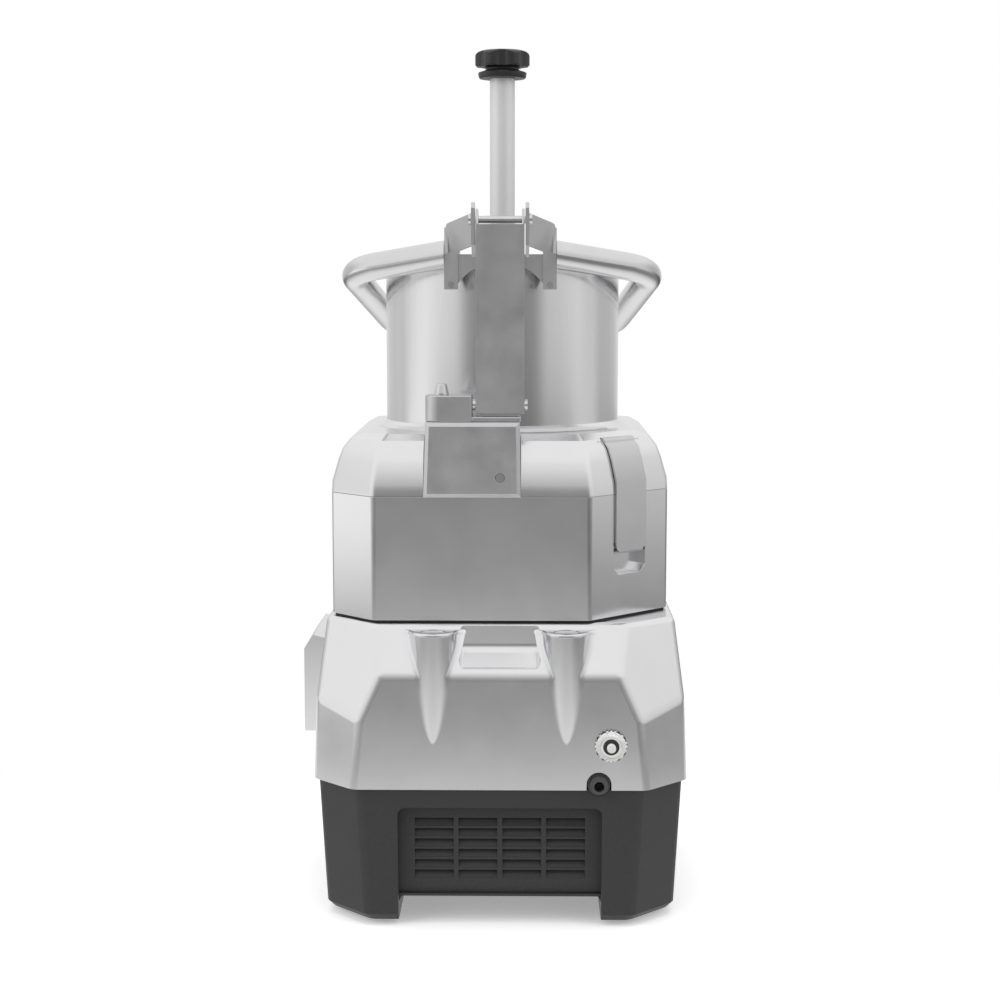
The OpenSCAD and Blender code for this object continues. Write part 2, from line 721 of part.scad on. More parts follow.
// Motor protector: ribbed bezel and nut outside, body inside, button through the neck
protector_neck_d = 12;
protector_bore = 8;
bezel_t = 3;
protector_low = reset_y - bezel_t - 5;
module reset_bezel() {
    rib = 24;
    color(dark) difference() {
        union() {
            translate([reset_x, reset_y - bezel_t, reset_z]) rod_y(bezel_d - 2, bezel_t - seat);
            for (i = [0:rib - 1])
                translate([reset_x, 0, reset_z]) rotate([0, i * 360 / rib, 0])
                    translate([-0.8, reset_y - bezel_t, bezel_d / 2 - 2]) cube([1.6, bezel_t - seat, 2]);
        }
        translate([reset_x, -shell_back - 5, reset_z]) rod_y(protector_neck_d + 2 * seat, 20);
    }
}
module reset_nut() {
    y = reset_y - bezel_t - 3 - seat;
    color(steel) difference() {
        translate([reset_x, y, reset_z]) rod_y(17, 3);
        translate([reset_x, y - 1, reset_z]) rod_y(protector_neck_d + 2 * run_fit, 6);
    }
}
module protector_body() {
    color(black) difference() {
        union() {
            translate([reset_x, protector_low, reset_z])
                rod_y(protector_neck_d, protector_y - protector_low + eps);
            translate([reset_x - 11, protector_y, reset_z - 15]) cube([22, 26, 30]);
        }
        translate([reset_x, protector_low - 1, reset_z]) rod_y(protector_bore, 24);
    }
}
module reset_button() {
    y = protector_low - reset_travel - 1.5;
    color("whitesmoke")
        translate([reset_x, y, reset_z]) rod_y(protector_bore - 2 * free_gap, 21);
}

// Side console: a raised pad over a window in the shell, with two buttons
console_z1 = console_z + console_h;
button_y = console_w / 4;
button_z = console_z + console_h * 0.45;
switch_low = console_z + 6 + seat;
module side_console() {
    y0 = -console_w / 2 + seat;
    w = console_w - 2 * seat;
    color(alu) difference() {
        translate([0, y0 + w, 0]) rotate([90, 0, 0]) linear_extrude(height = w) polygon([
            [-console_x, console_z + seat], [-console_x, console_z1 - 12],
            [-console_x + 8, console_z1], [-side_x(console_z1 - 4) - seat, console_z1 - 4],
            [-side_x(window_top) - seat, window_top - seat],
            [-console_in - 2, window_top - seat], [-console_in - 2, console_z + seat]]);
        translate([-console_x + 5, y0 + 6, console_z + 6])
            cube([console_x - console_in, w - 12, console_h - 24]);
        for (s = [-1, 1]) translate([-console_x, s * button_y, button_z])
            rod_x(button_d + 2 * free_gap, 20);
    }
}
module switch_blocks() {
    color(black) for (s = [-1, 1]) {
        translate([-console_x + 17.5, s * button_y - 14, button_z - 16]) cube([26, 28, 32]);
        translate([-console_x + 20, s * button_y - 10, switch_low])
            cube([18, 20, button_z - switch_low - 15]);
    }
}
module push_button(y, tone) {
    l = 13;
    color(tone) difference() {
        translate([-console_x + free_gap + l / 2, y, button_z]) rod_x(button_d, l);
        translate([-console_x - 30, y, button_z]) sphere(d = 62);
    }
}
module start_button() {
    push_button(button_y, [0.15, 0.5, 0.25]);
}
module stop_button() {
    push_button(-button_y, [0.7, 0.12, 0.1]);
}

// Drive train below the deck
housing_d = bearing_d + 14;
housing_h = 52;
housing_z = deck_z - housing_h;
seal_d = 36;
seal_h = 7;
belt_z = housing_z - 8 - belt_w;
small_pulley_d = big_pulley_d / belt_ratio;
motor_y = -centre_gap;
motor_z = belt_z - 10 - motor_h;

module spindle_housing() {
    color(alu) difference() {
        union() {
            translate([0, 0, housing_z]) cylinder(d = housing_d, h = housing_h);
            translate([0, 0, deck_z - deck_t - 6 - seat]) cylinder(d = housing_d + 30, h = 6);
        }
        translate([0, 0, housing_z - 1]) cylinder(d = spindle_d + 8, h = housing_h + 2);
        translate([0, 0, housing_z - 1]) cylinder(d = bearing_d + 2 * run_fit, h = bearing_h + 1);
        translate([0, 0, deck_z - bearing_h]) cylinder(d = bearing_d + 2 * run_fit, h = bearing_h + 1);
    }
}
module spindle_bearings() {
    color(steel) for (z = [housing_z, deck_z - bearing_h])
        translate([0, 0, z]) difference() {
            cylinder(d = bearing_d, h = bearing_h - seat);
            translate([0, 0, -1]) cylinder(d = spindle_d + 2 * run_fit, h = bearing_h + 2);
        }
}
module lip_seal() {
    color(black) difference() {
        translate([0, 0, boss_top - seal_h + seat]) cylinder(d = seal_d, h = seal_h - seat);
        translate([0, 0, boss_top - seal_h - 1]) cylinder(d = spindle_d + 2 * run_fit, h = seal_h + 2);
    }
}
module spindle() {
    color(steel) {
        translate([0, 0, belt_z - 6]) cylinder(d = spindle_d, h = disc_z - belt_z + 5);
        translate([0, 0, disc_z - 1 - eps]) cylinder(d = nut_thread_d, h = nut_h - 1);
    }
}
module big_pulley() {
    color(alu) difference() {
        union() {
            translate([0, 0, belt_z]) cylinder(d = big_pulley_d, h = belt_w);
            translate([0, 0, belt_z - 2]) cylinder(d = big_pulley_d + 5, h = 2);
        }
        translate([0, 0, belt_z - 3]) cylinder(d = spindle_d + 2 * run_fit, h = belt_w + 4);
        for (i = [0:5]) rotate([0, 0, i * 60]) translate([big_pulley_d / 3.2, 0, belt_z - 3])
            cylinder(d = 18, h = belt_w + 4);
    }
}

// Cutting set on the spindle: ejector disc, slicing disc with its blade, hub nut
ejector_z = boss_top + 1;
hub_z = ejector_z + ejector_t;
disc_z = seam_z - 10;
hub_h = disc_z - hub_z;
nut_h = 9;
nut_thread_d = 10;
blade_w = 26;
module ejector_disc() {
    color("ivory") difference() {
        union() {
            translate([0, 0, ejector_z]) cylinder(d = disc_d, h = ejector_t);
            for (i = [0:2]) rotate([0, 0, i * 120 + 20])
                translate([26, -3, hub_z - eps]) cube([disc_d / 2 - 30, 6, vane_h]);
            translate([0, 0, hub_z - eps]) cylinder(d = 46, h = hub_h - 1);
        }
        translate([0, 0, ejector_z - 1]) cylinder(d = spindle_d + 2 * run_fit, h = ejector_t + hub_h);
    }
}
module slicing_disc() {
    color(steel) difference() {
        union() {
            translate([0, 0, disc_z]) cylinder(d = disc_d, h = disc_t);
            translate([0, 0, disc_z - 1 + seat]) cylinder(d = 46, h = 1);
        }
        translate([0, 0, disc_z - 3]) cylinder(d = nut_thread_d + 2 * run_fit, h = 10);
        translate([28, -blade_w / 2, disc_z - 2]) cube([disc_d / 2 - 38, blade_w, 8]);
        for (y = [-34, 34]) translate([-20, y, disc_z - 2]) cylinder(d = 12, h = 8);
    }
}
module slicing_blade() {
    l = disc_d / 2 - 38 - 2 * seat;
    color(steel) plate_yz(28 + seat, l) polygon([
        [-blade_w / 2 + seat, disc_z], [-blade_w / 2 + seat, disc_z + 1],
        [4, disc_z + disc_t + 2.5], [8, disc_z + disc_t + 2.5], [-4, disc_z]]);
}
module hub_nut() {
    color(dark) difference() {
        translate([0, 0, disc_z + disc_t + seat]) cylinder(d1 = 40, d2 = 26, h = nut_h - disc_t - seat);
        translate([0, 0, disc_z]) cylinder(d = nut_thread_d + 2 * run_fit, h = nut_h - 2 + 0.2);
    }
}

// Belt outline: an arc round each pulley, whose centres lie apart along Y
function arc(c, r, from, to, n) =
    [for (i = [0:n]) let (a = from + (to - from) * i / n) c + r * [cos(a), sin(a)]];
module belt_loop(r1, r2, d) {
    b = asin((r1 - r2) / d);
    polygon(concat(arc([0, 0], r1, -b, 180 + b, 40), arc([0, -d], r2, 180 + b, 360 - b, 16)));
}
module drive_belt() {
    gap = 0.3;
    r1 = big_pulley_d / 2 + gap;
    r2 = small_pulley_d / 2 + gap;
    color(black) translate([0, 0, belt_z + 0.5]) linear_extrude(height = belt_w - 1) difference() {
        belt_loop(r1 + belt_t, r2 + belt_t, centre_gap);
        belt_loop(r1, r2, centre_gap);
    }
}
module at_motor(z) {
    translate([0, motor_y, z]) children();
}
stator_bore = motor_d / 2;
module motor_body() {
    color(satin) difference() {
        at_motor(motor_z) cylinder(d = motor_d, h = motor_h);
        at_motor(motor_z + 14) cylinder(d = stator_bore, h = motor_h - 28);
        at_motor(motor_z - 1) cylinder(d = motor_shaft_d + 2 * run_fit, h = motor_h + 2);
        for (i = [0:23]) at_motor(motor_z + 12) rotate([0, 0, i * 15])
            translate([motor_d / 2 - 3, -2, 0]) cube([6, 4, motor_h - 24]);
    }
}
module rotor() {
    color(steel) {
        at_motor(motor_z - 14) cylinder(d = motor_shaft_d, h = belt_z + belt_w - motor_z + 14);
        at_motor(motor_z + 14 + free_gap)
            cylinder(d = stator_bore - 2 * free_gap, h = motor_h - 28 - 2 * free_gap);
    }
}
module small_pulley() {
    color(steel) difference() {
        union() {
            at_motor(belt_z) cylinder(d = small_pulley_d, h = belt_w - seat);
            at_motor(belt_z - 2) cylinder(d = small_pulley_d + 5, h = 2);
        }
        at_motor(belt_z - 3) cylinder(d = motor_shaft_d + 2 * run_fit, h = belt_w + 4);
    }
}
module cooling_fan() {
    color(dark) difference() {
        union() {
            at_motor(motor_z - 12) cylinder(d = fan_d, h = 1.6);
            at_motor(motor_z - 12) cylinder(d = 26, h = 10);
            for (i = [0:9]) at_motor(motor_z - 12 + 1.5) rotate([0, 0, i * 36])
                translate([11, -0.8, 0]) cube([fan_d / 2 - 12, 1.6, 7.5]);
        }
        at_motor(motor_z - 13) cylinder(d = motor_shaft_d + 2 * run_fit, h = 14);
    }
}

// The motor hangs from the deck on a plate with posts
motor_plate_z = motor_z + motor_h + seat;
motor_plate_t = 4;
post_x = motor_d / 2 - 8;
post_ys = [motor_y - 28, motor_y + 34];
module motor_plate() {
    color(steel) difference() {
        translate([-post_x - 8, post_ys[0] - 10, motor_plate_z])
            cube([2 * post_x + 16, post_ys[1] - post_ys[0] + 20, motor_plate_t]);
        at_motor(motor_plate_z - 1) cylinder(d = small_pulley_d + 12, h = motor_plate_t + 2);
        for (y = post_ys) mirrored() translate([post_x, y, motor_plate_z - 1])
            cylinder(d = 6.2, h = motor_plate_t + 2);
    }
}
module motor_posts() {
    top = deck_z - deck_t - seat;
    color(steel) for (y = post_ys) mirrored() translate([post_x, y, 0]) {
        translate([0, 0, motor_plate_z + motor_plate_t + seat])
            cylinder(d = 12, h = top - motor_plate_z - motor_plate_t - seat);
        translate([0, 0, motor_plate_z + 0.2]) cylinder(d = 6, h = motor_plate_t + 1);
    }
}
capacitor_d = 40;
capacitor_h = 76;
board_w = 120;
board_l = 62;
board_y = shell_front - board_l - 28;
module run_capacitor() {
    color(satin) translate([-(motor_d / 2 + capacitor_d / 2 + 26), -20, plate_z + plate_t + seat])
        cylinder(d = capacitor_d, h = capacitor_h);
}
module control_board() {
    deck = plate_z + plate_t + 14;
    color([0.1, 0.35, 0.2]) {
        translate([-board_w / 2, board_y, deck - 2]) cube([board_w, board_l, 2]);
        for (x = [-board_w / 2 + 8, board_w / 2 - 8]) for (y = [board_y + 8, board_y + board_l - 8])
            translate([x, y, plate_z + plate_t + seat]) cylinder(d = 6, h = 12 - seat);
        translate([-30, board_y + 10, deck - eps]) cube([34, 30, 22]);
        translate([18, board_y + 16, deck - eps]) cube([16, 36, 16]);
    }
}
module terminal_block() {
    color("ivory") difference() {
        translate([64, -30, plate_z + plate_t + seat]) cube([24, 62, 18]);
        for (i = [0:4]) translate([76, -24 + i * 12, plate_z + plate_t + 8]) cylinder(d = 7, h = 20);
    }
}

// Cover: the bowl outline, drawn in towards the hopper
hopper_in = hopper_d - 2 * hopper_wall;
pocket_in = hinge_y - 12;
cover_profile = [[0, 0], [0.4, cover_band], [shoulder_in * 0.6, cover_h * 0.55],
    [shoulder_in, cover_h * 0.74], [shoulder_in * 1.7, cover_h * 0.9], [top_in, cover_h]];
function cover_level(d, z) = lift(rounded(inset(bowl_outline, d), corner_r), cover_z + z);
module cover() {
    color(alu) difference() {
        union() {
            difference() {
                loft([for (p = cover_profile) cover_level(p.x, p.y)]);
                cover_hollow();
            }
            translate([0, 0, cover_z]) cylinder(d = hopper_d + 2 * cast_wall, h = cover_h - 1);
            translate([0, 0, cover_top - eps]) rotate_extrude(convexity = 4)
                polygon([[hopper_in / 2, -2], [hopper_d / 2 + ring_w, -2], [hopper_d / 2 + ring_w, 0],
                    [hopper_d / 2 + ring_w * 0.5, ring_h * 0.3],
                    [hopper_d / 2 + ring_w * 0.2, ring_h * 0.7],
                    [hopper_d / 2 + seat, ring_h], [hopper_in / 2, ring_h]]);
        }
        // throat, with a seat for the hopper tube
        translate([0, 0, cover_z - 1]) cylinder(d = hopper_in, h = cover_h + 20);
        translate([0, 0, cover_top - 12]) cylinder(d = hopper_d + 2 * seat, h = 30);
        // pocket of the hinge box
        translate([box_x0 - seat, -bowl_back - 1, cover_z - 1])
            cube([box_w + 2 * seat, bowl_back + 1 - pocket_in, cover_h + 20]);
        // trough and pin hole of the latch
        at_latch_pin() rod_x(latch_roll_d + 2 * free_gap, latch_w + 1);
        at_latch_pin() rod_x(latch_pin_d + 2 * run_fit, latch_w + 13);
    }
}

// The casting is hollow below, but solid behind the hinge box and under the latch
module cover_hollow() {
    top = cover_h - cast_wall;
    difference() {
        loft([lift(inset(bowl_outline, cast_wall), cover_z - 1),
            lift(inset(bowl_outline, cast_wall + shoulder_in * 0.6), cover_z + top * 0.6),
            lift(inset(bowl_outline, cast_wall + shoulder_in * 1.7), cover_z + top)]);
        translate([box_x0 - cast_wall, -bowl_back, cover_z - 2])
            cube([box_w + 2 * cast_wall, bowl_back - pocket_in + cast_wall, cover_h]);
        at_latch() translate([-latch_w / 2 - 12, -1, cover_z - 2])
            cube([latch_w + 24, latch_y + 10, cover_h]);
    }
}
module feed_hopper() {
    color(steel) difference() {
        translate([0, 0, cover_top - 12 + seat]) cylinder(d = hopper_d, h = hopper_h + 12 - seat);
        translate([0, 0, cover_z]) cylinder(d = hopper_in, h = hopper_h + cover_h + 10);
    }
}

// Hinge box, block, lug and pins at the rear
box_x0 = -hinge_x - 14.4;
box_bevel = 3;
block_r = 13;
function box_face(t, y) = [
    [box_x0 + t, y, cover_z + t], [box_x0 + box_w - t, y, cover_z + t],
    [box_x0 + box_w - t - 1, y, box_top - t], [box_x0 + t + 2, y, box_top - t]];
module hinge_box() {
    color(satin) difference() {
        faceted(concat(box_face(0, -pocket_in - seat), box_face(0, -box_back + box_bevel),
            box_face(box_bevel, -box_back)));
        translate([-hinge_x, -hinge_y, cover_z - 1]) cylinder(d = hinge_pin_d + 2 * run_fit, h = box_h + 2);
        translate([0, -box_back - 1, cover_z + 16]) rod_y(7.6, 4);
        // the box hugs the hopper
        translate([0, 0, cover_z + 1]) cylinder(d = hopper_d + 2 * ring_w + 1, h = box_h + 2);
    }
}
module box_screw() {
    color(steel) translate([0, -box_back + 0.2, cover_z + 16]) difference() {
        rod_y(7, 2.6);
        rotate([-90, 0, 0]) translate([0, 0, -1]) cylinder(d = 3.4, h = 2.5, $fn = 6);
    }
}
lug_w = 29;
lug_back = -hinge_y - 5.4;
lug_front = -hinge_y + 9;
arm_foot_h = 4;
module hinge_block() {
    color(satin) difference() {
        union() {
            translate([-hinge_x, -hinge_y, block_z]) cylinder(r = block_r, h = block_h);
            translate([-hinge_x, -hinge_y - block_r, block_z])
                cube([hinge_x - column_w / 2 - 3.2, 2 * block_r, block_h]);
            translate([-hinge_x, -hinge_y - block_r + 3, block_z])
                cube([hinge_x + lug_w / 2 + 2, 2 * block_r - 3, arm_foot_h]);
        }
        translate([-hinge_x, -hinge_y, block_z - 1])
            cylinder(d = hinge_pin_d + 2 * run_fit, h = block_h + 2);
        translate([0, 0, block_z - 1]) cylinder(d = hopper_d + 1, h = block_h + 2);
    }
}
module column_lug() {
    z0 = block_z + arm_foot_h + seat;
    color(satin) difference() {
        union() {
            translate([-lug_w / 2, lug_back, z0])
                cube([lug_w, lug_front - lug_back, lower_pin_z - z0 + 2]);
            translate([0, -hinge_y, lower_pin_z]) rod_x(10.8, lug_w);
        }
        translate([0, -hinge_y, lower_pin_z]) rod_x(column_pin_d + 2 * run_fit, lug_w + 2);
    }
}
module headed_pin(w) {
    rod_x(column_pin_d, w);
    mirrored() translate([w / 2 + 1, 0, 0]) rod_x(column_pin_d + 3, 2);
}
module lower_pin() {
    color(steel) translate([0, -hinge_y, lower_pin_z]) headed_pin(column_w + 1.2);
}

// Latch strap: lies on the shoulder over the long corner cut, its rolled end on a pin
latch_y = shoulder_in * 1.7 - 0.3;
latch_z = cover_z + cover_h * 0.845;
latch_pin_d = 3;
latch_roll_d = 8;
latch_gap = 0.5;
function shoulder_off(i, k) =
    let (d = unit(cover_profile[i + 1] - cover_profile[i - 1]))
    [cover_profile[i].x - d.y * k, cover_z + cover_profile[i].y + d.x * k];
module at_latch_pin() {
    at_latch() translate([0, latch_y, latch_z]) children();
}
module latch_pin() {
    color(steel) at_latch_pin() rod_x(latch_pin_d, latch_w + 12);
}
module latch_strap() {
    low = seam_z - latch_low;
    out = latch_gap + latch_t;
    color(steel) difference() {
        union() {
            at_latch() plate_yz(-latch_w / 2, latch_w) polygon([
                [-out, low], [-latch_gap, low],
                for (i = [1:3]) shoulder_off(i, latch_gap),
                [latch_y - 2.5, latch_z - 0.2], [latch_y, latch_z + latch_roll_d / 2],
                for (i = [3:-1:1]) shoulder_off(i, out)]);
            at_latch_pin() rod_x(latch_roll_d, latch_w);
        }
        at_latch_pin() rod_x(latch_pin_d + 2 * run_fit, latch_w + 2);
        // lower corners
        at_latch() mirrored() plate_xz(-out - 1, latch_t + 2) polygon([
            [latch_w / 2 - 5, low], [latch_w / 2 - 1.5, low + 2], [latch_w / 2, low + 6],
            [latch_w / 2 + 1, low + 6], [latch_w / 2 + 1, low - 1], [latch_w / 2 - 5, low - 1]]);
    }
}

// Column: a U channel open to the hopper, on the lower pin, carrying the upper pin
column_back = -hinge_y - 9;
module column() {
    color(satin) difference() {
        plate_yz(-column_w / 2, column_w) polygon([
            [column_back, lower_pin_z - 6.3], [-hinge_y + 2, lower_pin_z - 7.5],
            [-hinge_y + 7, lower_pin_z - 2], [column_back + column_l, lower_pin_z + 12],
            [column_back + column_l, upper_pin_z - 10], [-hinge_y + 6, upper_pin_z + 6],
            [-hinge_y - 4, upper_pin_z + 8.5], [-hinge_y - 6, upper_pin_z + 4],
            [column_back, upper_pin_z - 3.7]]);
        plate_yz(-column_w / 2 + column_t, column_w - 2 * column_t) polygon([
            [column_back + column_t, lower_pin_z - 20], [-hinge_y + 30, lower_pin_z - 20],
            [-hinge_y + 30, upper_pin_z + 20], [column_back - 2, upper_pin_z + 20],
            [column_back - 2, upper_pin_z - 3.7], [column_back + column_t, upper_pin_z - 3.7]]);
        for (z = [lower_pin_z, upper_pin_z]) translate([0, -hinge_y, z])
            rod_x(column_pin_d + 2 * run_fit, column_w + 2);
    }
}
ear_x = column_w / 2 + 0.7;
module upper_pin() {
    color(steel) translate([0, -hinge_y, upper_pin_z]) headed_pin(2 * (ear_x + yoke_t) + 0.8);
}

// Lever: ears on the upper pin, wings and legs, a cross plate and two fork arms with slots
arm_x = tube_d / 2 + 2.5;
arm_slope = atan(crosshead_drop / hinge_y);
arm_reach = norm([hinge_y, crosshead_drop]);
slot_near = arm_reach - 6.5;
slot_far = arm_reach + 15;
slot_mid = slot_play / 2 - 0.3;
yoke_y = -hinge_y + 9.6;
wing_y = -hinge_y + 4;
wing_turn = 21;
wing_l = (yoke_w / 2 - 1 - ear_x) / cos(wing_turn);
leg_w = 11;
leg_low = upper_pin_z - 55;
wing_low = upper_pin_z - 28;
cross_y = column_back + column_l + 0.6;
module lever_yoke() {
    color(steel) mirrored() {
        difference() {
            union() {
                // ear on the pin, down to the cross plate
                plate_yz(ear_x, yoke_t) polygon([
                    [-hinge_y - 6, upper_pin_z - 20], [-hinge_y + 4, upper_pin_z - 20],
                    [cross_y, wing_low - 1], [cross_y + yoke_t, wing_low - 1],
                    [cross_y + yoke_t, upper_pin_z - 16], [-hinge_y + 9, upper_pin_z + 5],
                    [-hinge_y + 4, upper_pin_z + 13.5], [-hinge_y - 3, upper_pin_z + 13.5],
                    [-hinge_y - 6, upper_pin_z + 9]]);
                // wing, turned outwards and towards the hopper
                translate([ear_x, wing_y, 0]) rotate([0, 0, wing_turn]) plate_xz(0, yoke_t) polygon([
                    [1.5, upper_pin_z - 20], [1.5, upper_pin_z + 6], [wing_l - 3, upper_pin_z - 2],
                    [wing_l - 0.8, upper_pin_z - 3.2], [wing_l, upper_pin_z - 6], [wing_l, wing_low - 0.5]]);
                // leg below the wing
                plate_xz(yoke_y, yoke_t + 0.5) polygon([
                    [yoke_w / 2 - leg_w, leg_low], [yoke_w / 2, leg_low], [yoke_w / 2, wing_low + 1],
                    [yoke_w / 2 - leg_w, wing_low + 5]]);
                // saddle flange that holds the end of the handle tube
                plate_yz(yoke_w / 2 - yoke_t, yoke_t) polygon([
                    [cross_y + 1, upper_pin_z - 6], [yoke_y, wing_low + 1], [yoke_y, leg_low],
                    [yoke_y + 6, leg_low],
                    [handle_y + handle_d / 2 + 1, handle_z - handle_d / 2 - 1],
                    [handle_y + handle_d / 2 + 1, handle_z + handle_d / 2]]);
                // fork arm
                translate([arm_x, -hinge_y, upper_pin_z]) rotate([-arm_slope, 0, 0])
                    plate_yz(0, arm_t) polygon([
                        [16.5, -arm_h / 2], [slot_far + 14, -arm_h / 2], [slot_far + 14, arm_h / 2],
                        [40, arm_h / 2], [16.5, -2]]);
            }
            translate([0, -hinge_y, upper_pin_z]) rod_x(column_pin_d + 2 * run_fit, 2 * (ear_x + yoke_t + 1));
            translate([arm_x - 1, -hinge_y, upper_pin_z]) rotate([-arm_slope, 0, 0]) {
                translate([0, slot_near, slot_mid]) slot_round();
                translate([0, slot_far, slot_mid]) slot_round();
                translate([0, slot_near, slot_mid - slot_d / 2])
                    cube([arm_t + 2, slot_far - slot_near, slot_d]);
            }
        }
    }
    // cross plate in front of the column, with an arched lower edge
    color(steel) plate_xz(cross_y, yoke_t) difference() {
        translate([-yoke_w / 2 + 1, leg_low + 1]) square([yoke_w - 2, wing_low - leg_low]);
        translate([0, leg_low - 20]) circle(r = yoke_w / 2 - leg_w + 8);
        translate([-yoke_w, leg_low - 60]) square([2 * yoke_w, 60]);
    }
}
slot_d = crosshead_d + slot_play;
module slot_round() {
    rotate([0, 90, 0]) cylinder(d = slot_d, h = arm_t + 2);
}

// Handle: one tube bent in a plane, from leg to leg round the hopper
handle_y = -hinge_y + 18;
handle_z = upper_pin_z - 27.5;
handle_x = yoke_w / 2 + seat;
handle_half_w = hopper_d / 2 + handle_out;
handle_l = (hopper_d / 2 + handle_front - handle_y) / cos(handle_slope);
handle_corners = [
    [handle_half_w, handle_corner_l],
    [handle_half_w - handle_narrow, handle_l],
    [-handle_half_w + handle_narrow, handle_l],
    [-handle_half_w, handle_corner_l]];
bend_steps = 7;
function handle_route(over) = concat(
    [[handle_x, 0] - over * unit(handle_corners[0] - [handle_x, 0])],
    fillet([handle_x, 0], handle_corners[0], handle_corners[1], handle_bend_r, bend_steps),
    fillet(handle_corners[0], handle_corners[1], handle_corners[2], handle_bend_r * 1.5, bend_steps),
    fillet(handle_corners[1], handle_corners[2], handle_corners[3], handle_bend_r * 1.5, bend_steps),
    fillet(handle_corners[2], handle_corners[3], [-handle_x, 0], handle_bend_r, bend_steps),
    [[-handle_x, 0] - over * unit(handle_corners[3] - [-handle_x, 0])]);
function heading(p, i) =
    unit((i < len(p) - 1 ? unit(p[i + 1] - p[i]) : [0, 0]) + (i > 0 ? unit(p[i] - p[i - 1]) : [0, 0]));
function hoop(c, h, r, n) = [for (k = [0:n - 1]) let (a = k * 360 / n)
    [c.x - h.y * r * cos(a), c.y + h.x * r * cos(a), r * sin(a)]];
module bent_bar(p, d) {
    sides = 16;
    loft([for (i = [0:len(p) - 1]) hoop(p[i], heading(p, i), d / 2, sides)]);
}
module handle_tube() {
    color(steel) translate([0, handle_y, handle_z]) rotate([-handle_slope, 0, 0]) difference() {
        bent_bar(handle_route(handle_d / 2), handle_d);
        bent_bar(handle_route(handle_d), handle_d - 2 * handle_wall);
        translate([-handle_x, -handle_d, -handle_d]) cube([2 * handle_x, 2 * handle_d, 2 * handle_d]);
    }
}
module yoke_screws() {
    color(steel) mirrored() translate([yoke_w / 2 - leg_w / 2, yoke_y - 1.6 - seat, leg_low + 4])
        rod_y(4.6, 1.6);
}

// Pusher: plate, inner feed tube with cap, crosshead pins, and the small pusher inside it
plate_low = cover_z + 3.5;
pusher_d = hopper_in - 2 * pusher_gap;
tube_top = crosshead_z + 6;
cap_z = tube_top + seat;
tube_in = tube_d - 2 * tube_wall;
module pusher_plate() {
    rib_n = 8;
    color(alu) difference() {
        union() {
            difference() {
                translate([0, 0, plate_low]) cylinder(d = pusher_d, h = pusher_h);
                translate([0, 0, plate_low + 4]) cylinder(d = pusher_d - 10, h = pusher_h);
            }
            for (i = [0:rib_n - 1]) rotate([0, 0, i * 360 / rib_n])
                translate([tube_d / 2 + 2, -1.5, plate_low + 3])
                    cube([pusher_d / 2 - tube_d / 2 - 5, 3, pusher_h - 4]);
            translate([0, 0, plate_low]) cylinder(d = tube_d + 10, h = pusher_h);
        }
        translate([0, 0, plate_low - 1]) cylinder(d = tube_d + 2 * seat, h = pusher_h + 2);
    }
}
module feed_tube() {
    color(steel) difference() {
        union() {
            translate([0, 0, plate_low]) cylinder(d = tube_d, h = tube_top - plate_low);
            translate([0, 0, tube_top - eps]) cylinder(d = tube_d, h = cap_h);
        }
        translate([0, 0, plate_low - 1]) cylinder(d = tube_in, h = tube_top - plate_low + 1);
        translate([0, 0, plate_low]) cylinder(d = rod_d + 2 * rod_fit, h = tube_top + cap_h);
        translate([0, 0, crosshead_z]) rod_x(crosshead_d - 2 + 2 * run_fit, tube_d + 10);
    }
}
rod_fit = 0.1;
module crosshead_pins() {
    l = arm_x + arm_t + 3.5;
    color(steel) mirrored() difference() {
        union() {
            translate([tube_in / 2 + 0.3, 0, crosshead_z]) rotate([0, 90, 0])
                cylinder(d = crosshead_d - 2, h = l - tube_in / 2 - 0.3);
            translate([tube_d / 2 + 0.2, 0, crosshead_z]) rotate([0, 90, 0])
                cylinder(d = crosshead_d, h = l - tube_d / 2 - 2.2);
            translate([l - 2, 0, crosshead_z]) rotate([0, 90, 0]) cylinder(d = slot_d + 3, h = 2);
        }
        translate([0, 0, crosshead_z - 20]) cylinder(d = tube_in, h = 40);
    }
}
piston_top = crosshead_z - 8.5;
rod_top = upper_pin_z + rod_above;
module small_pusher() {
    color(satin) {
        translate([0, 0, piston_top - piston_h]) cylinder(d = tube_in - 2 * rod_fit - 0.8, h = piston_h);
        translate([0, 0, piston_top - eps]) cylinder(d = rod_d, h = rod_top - piston_top);
    }
}

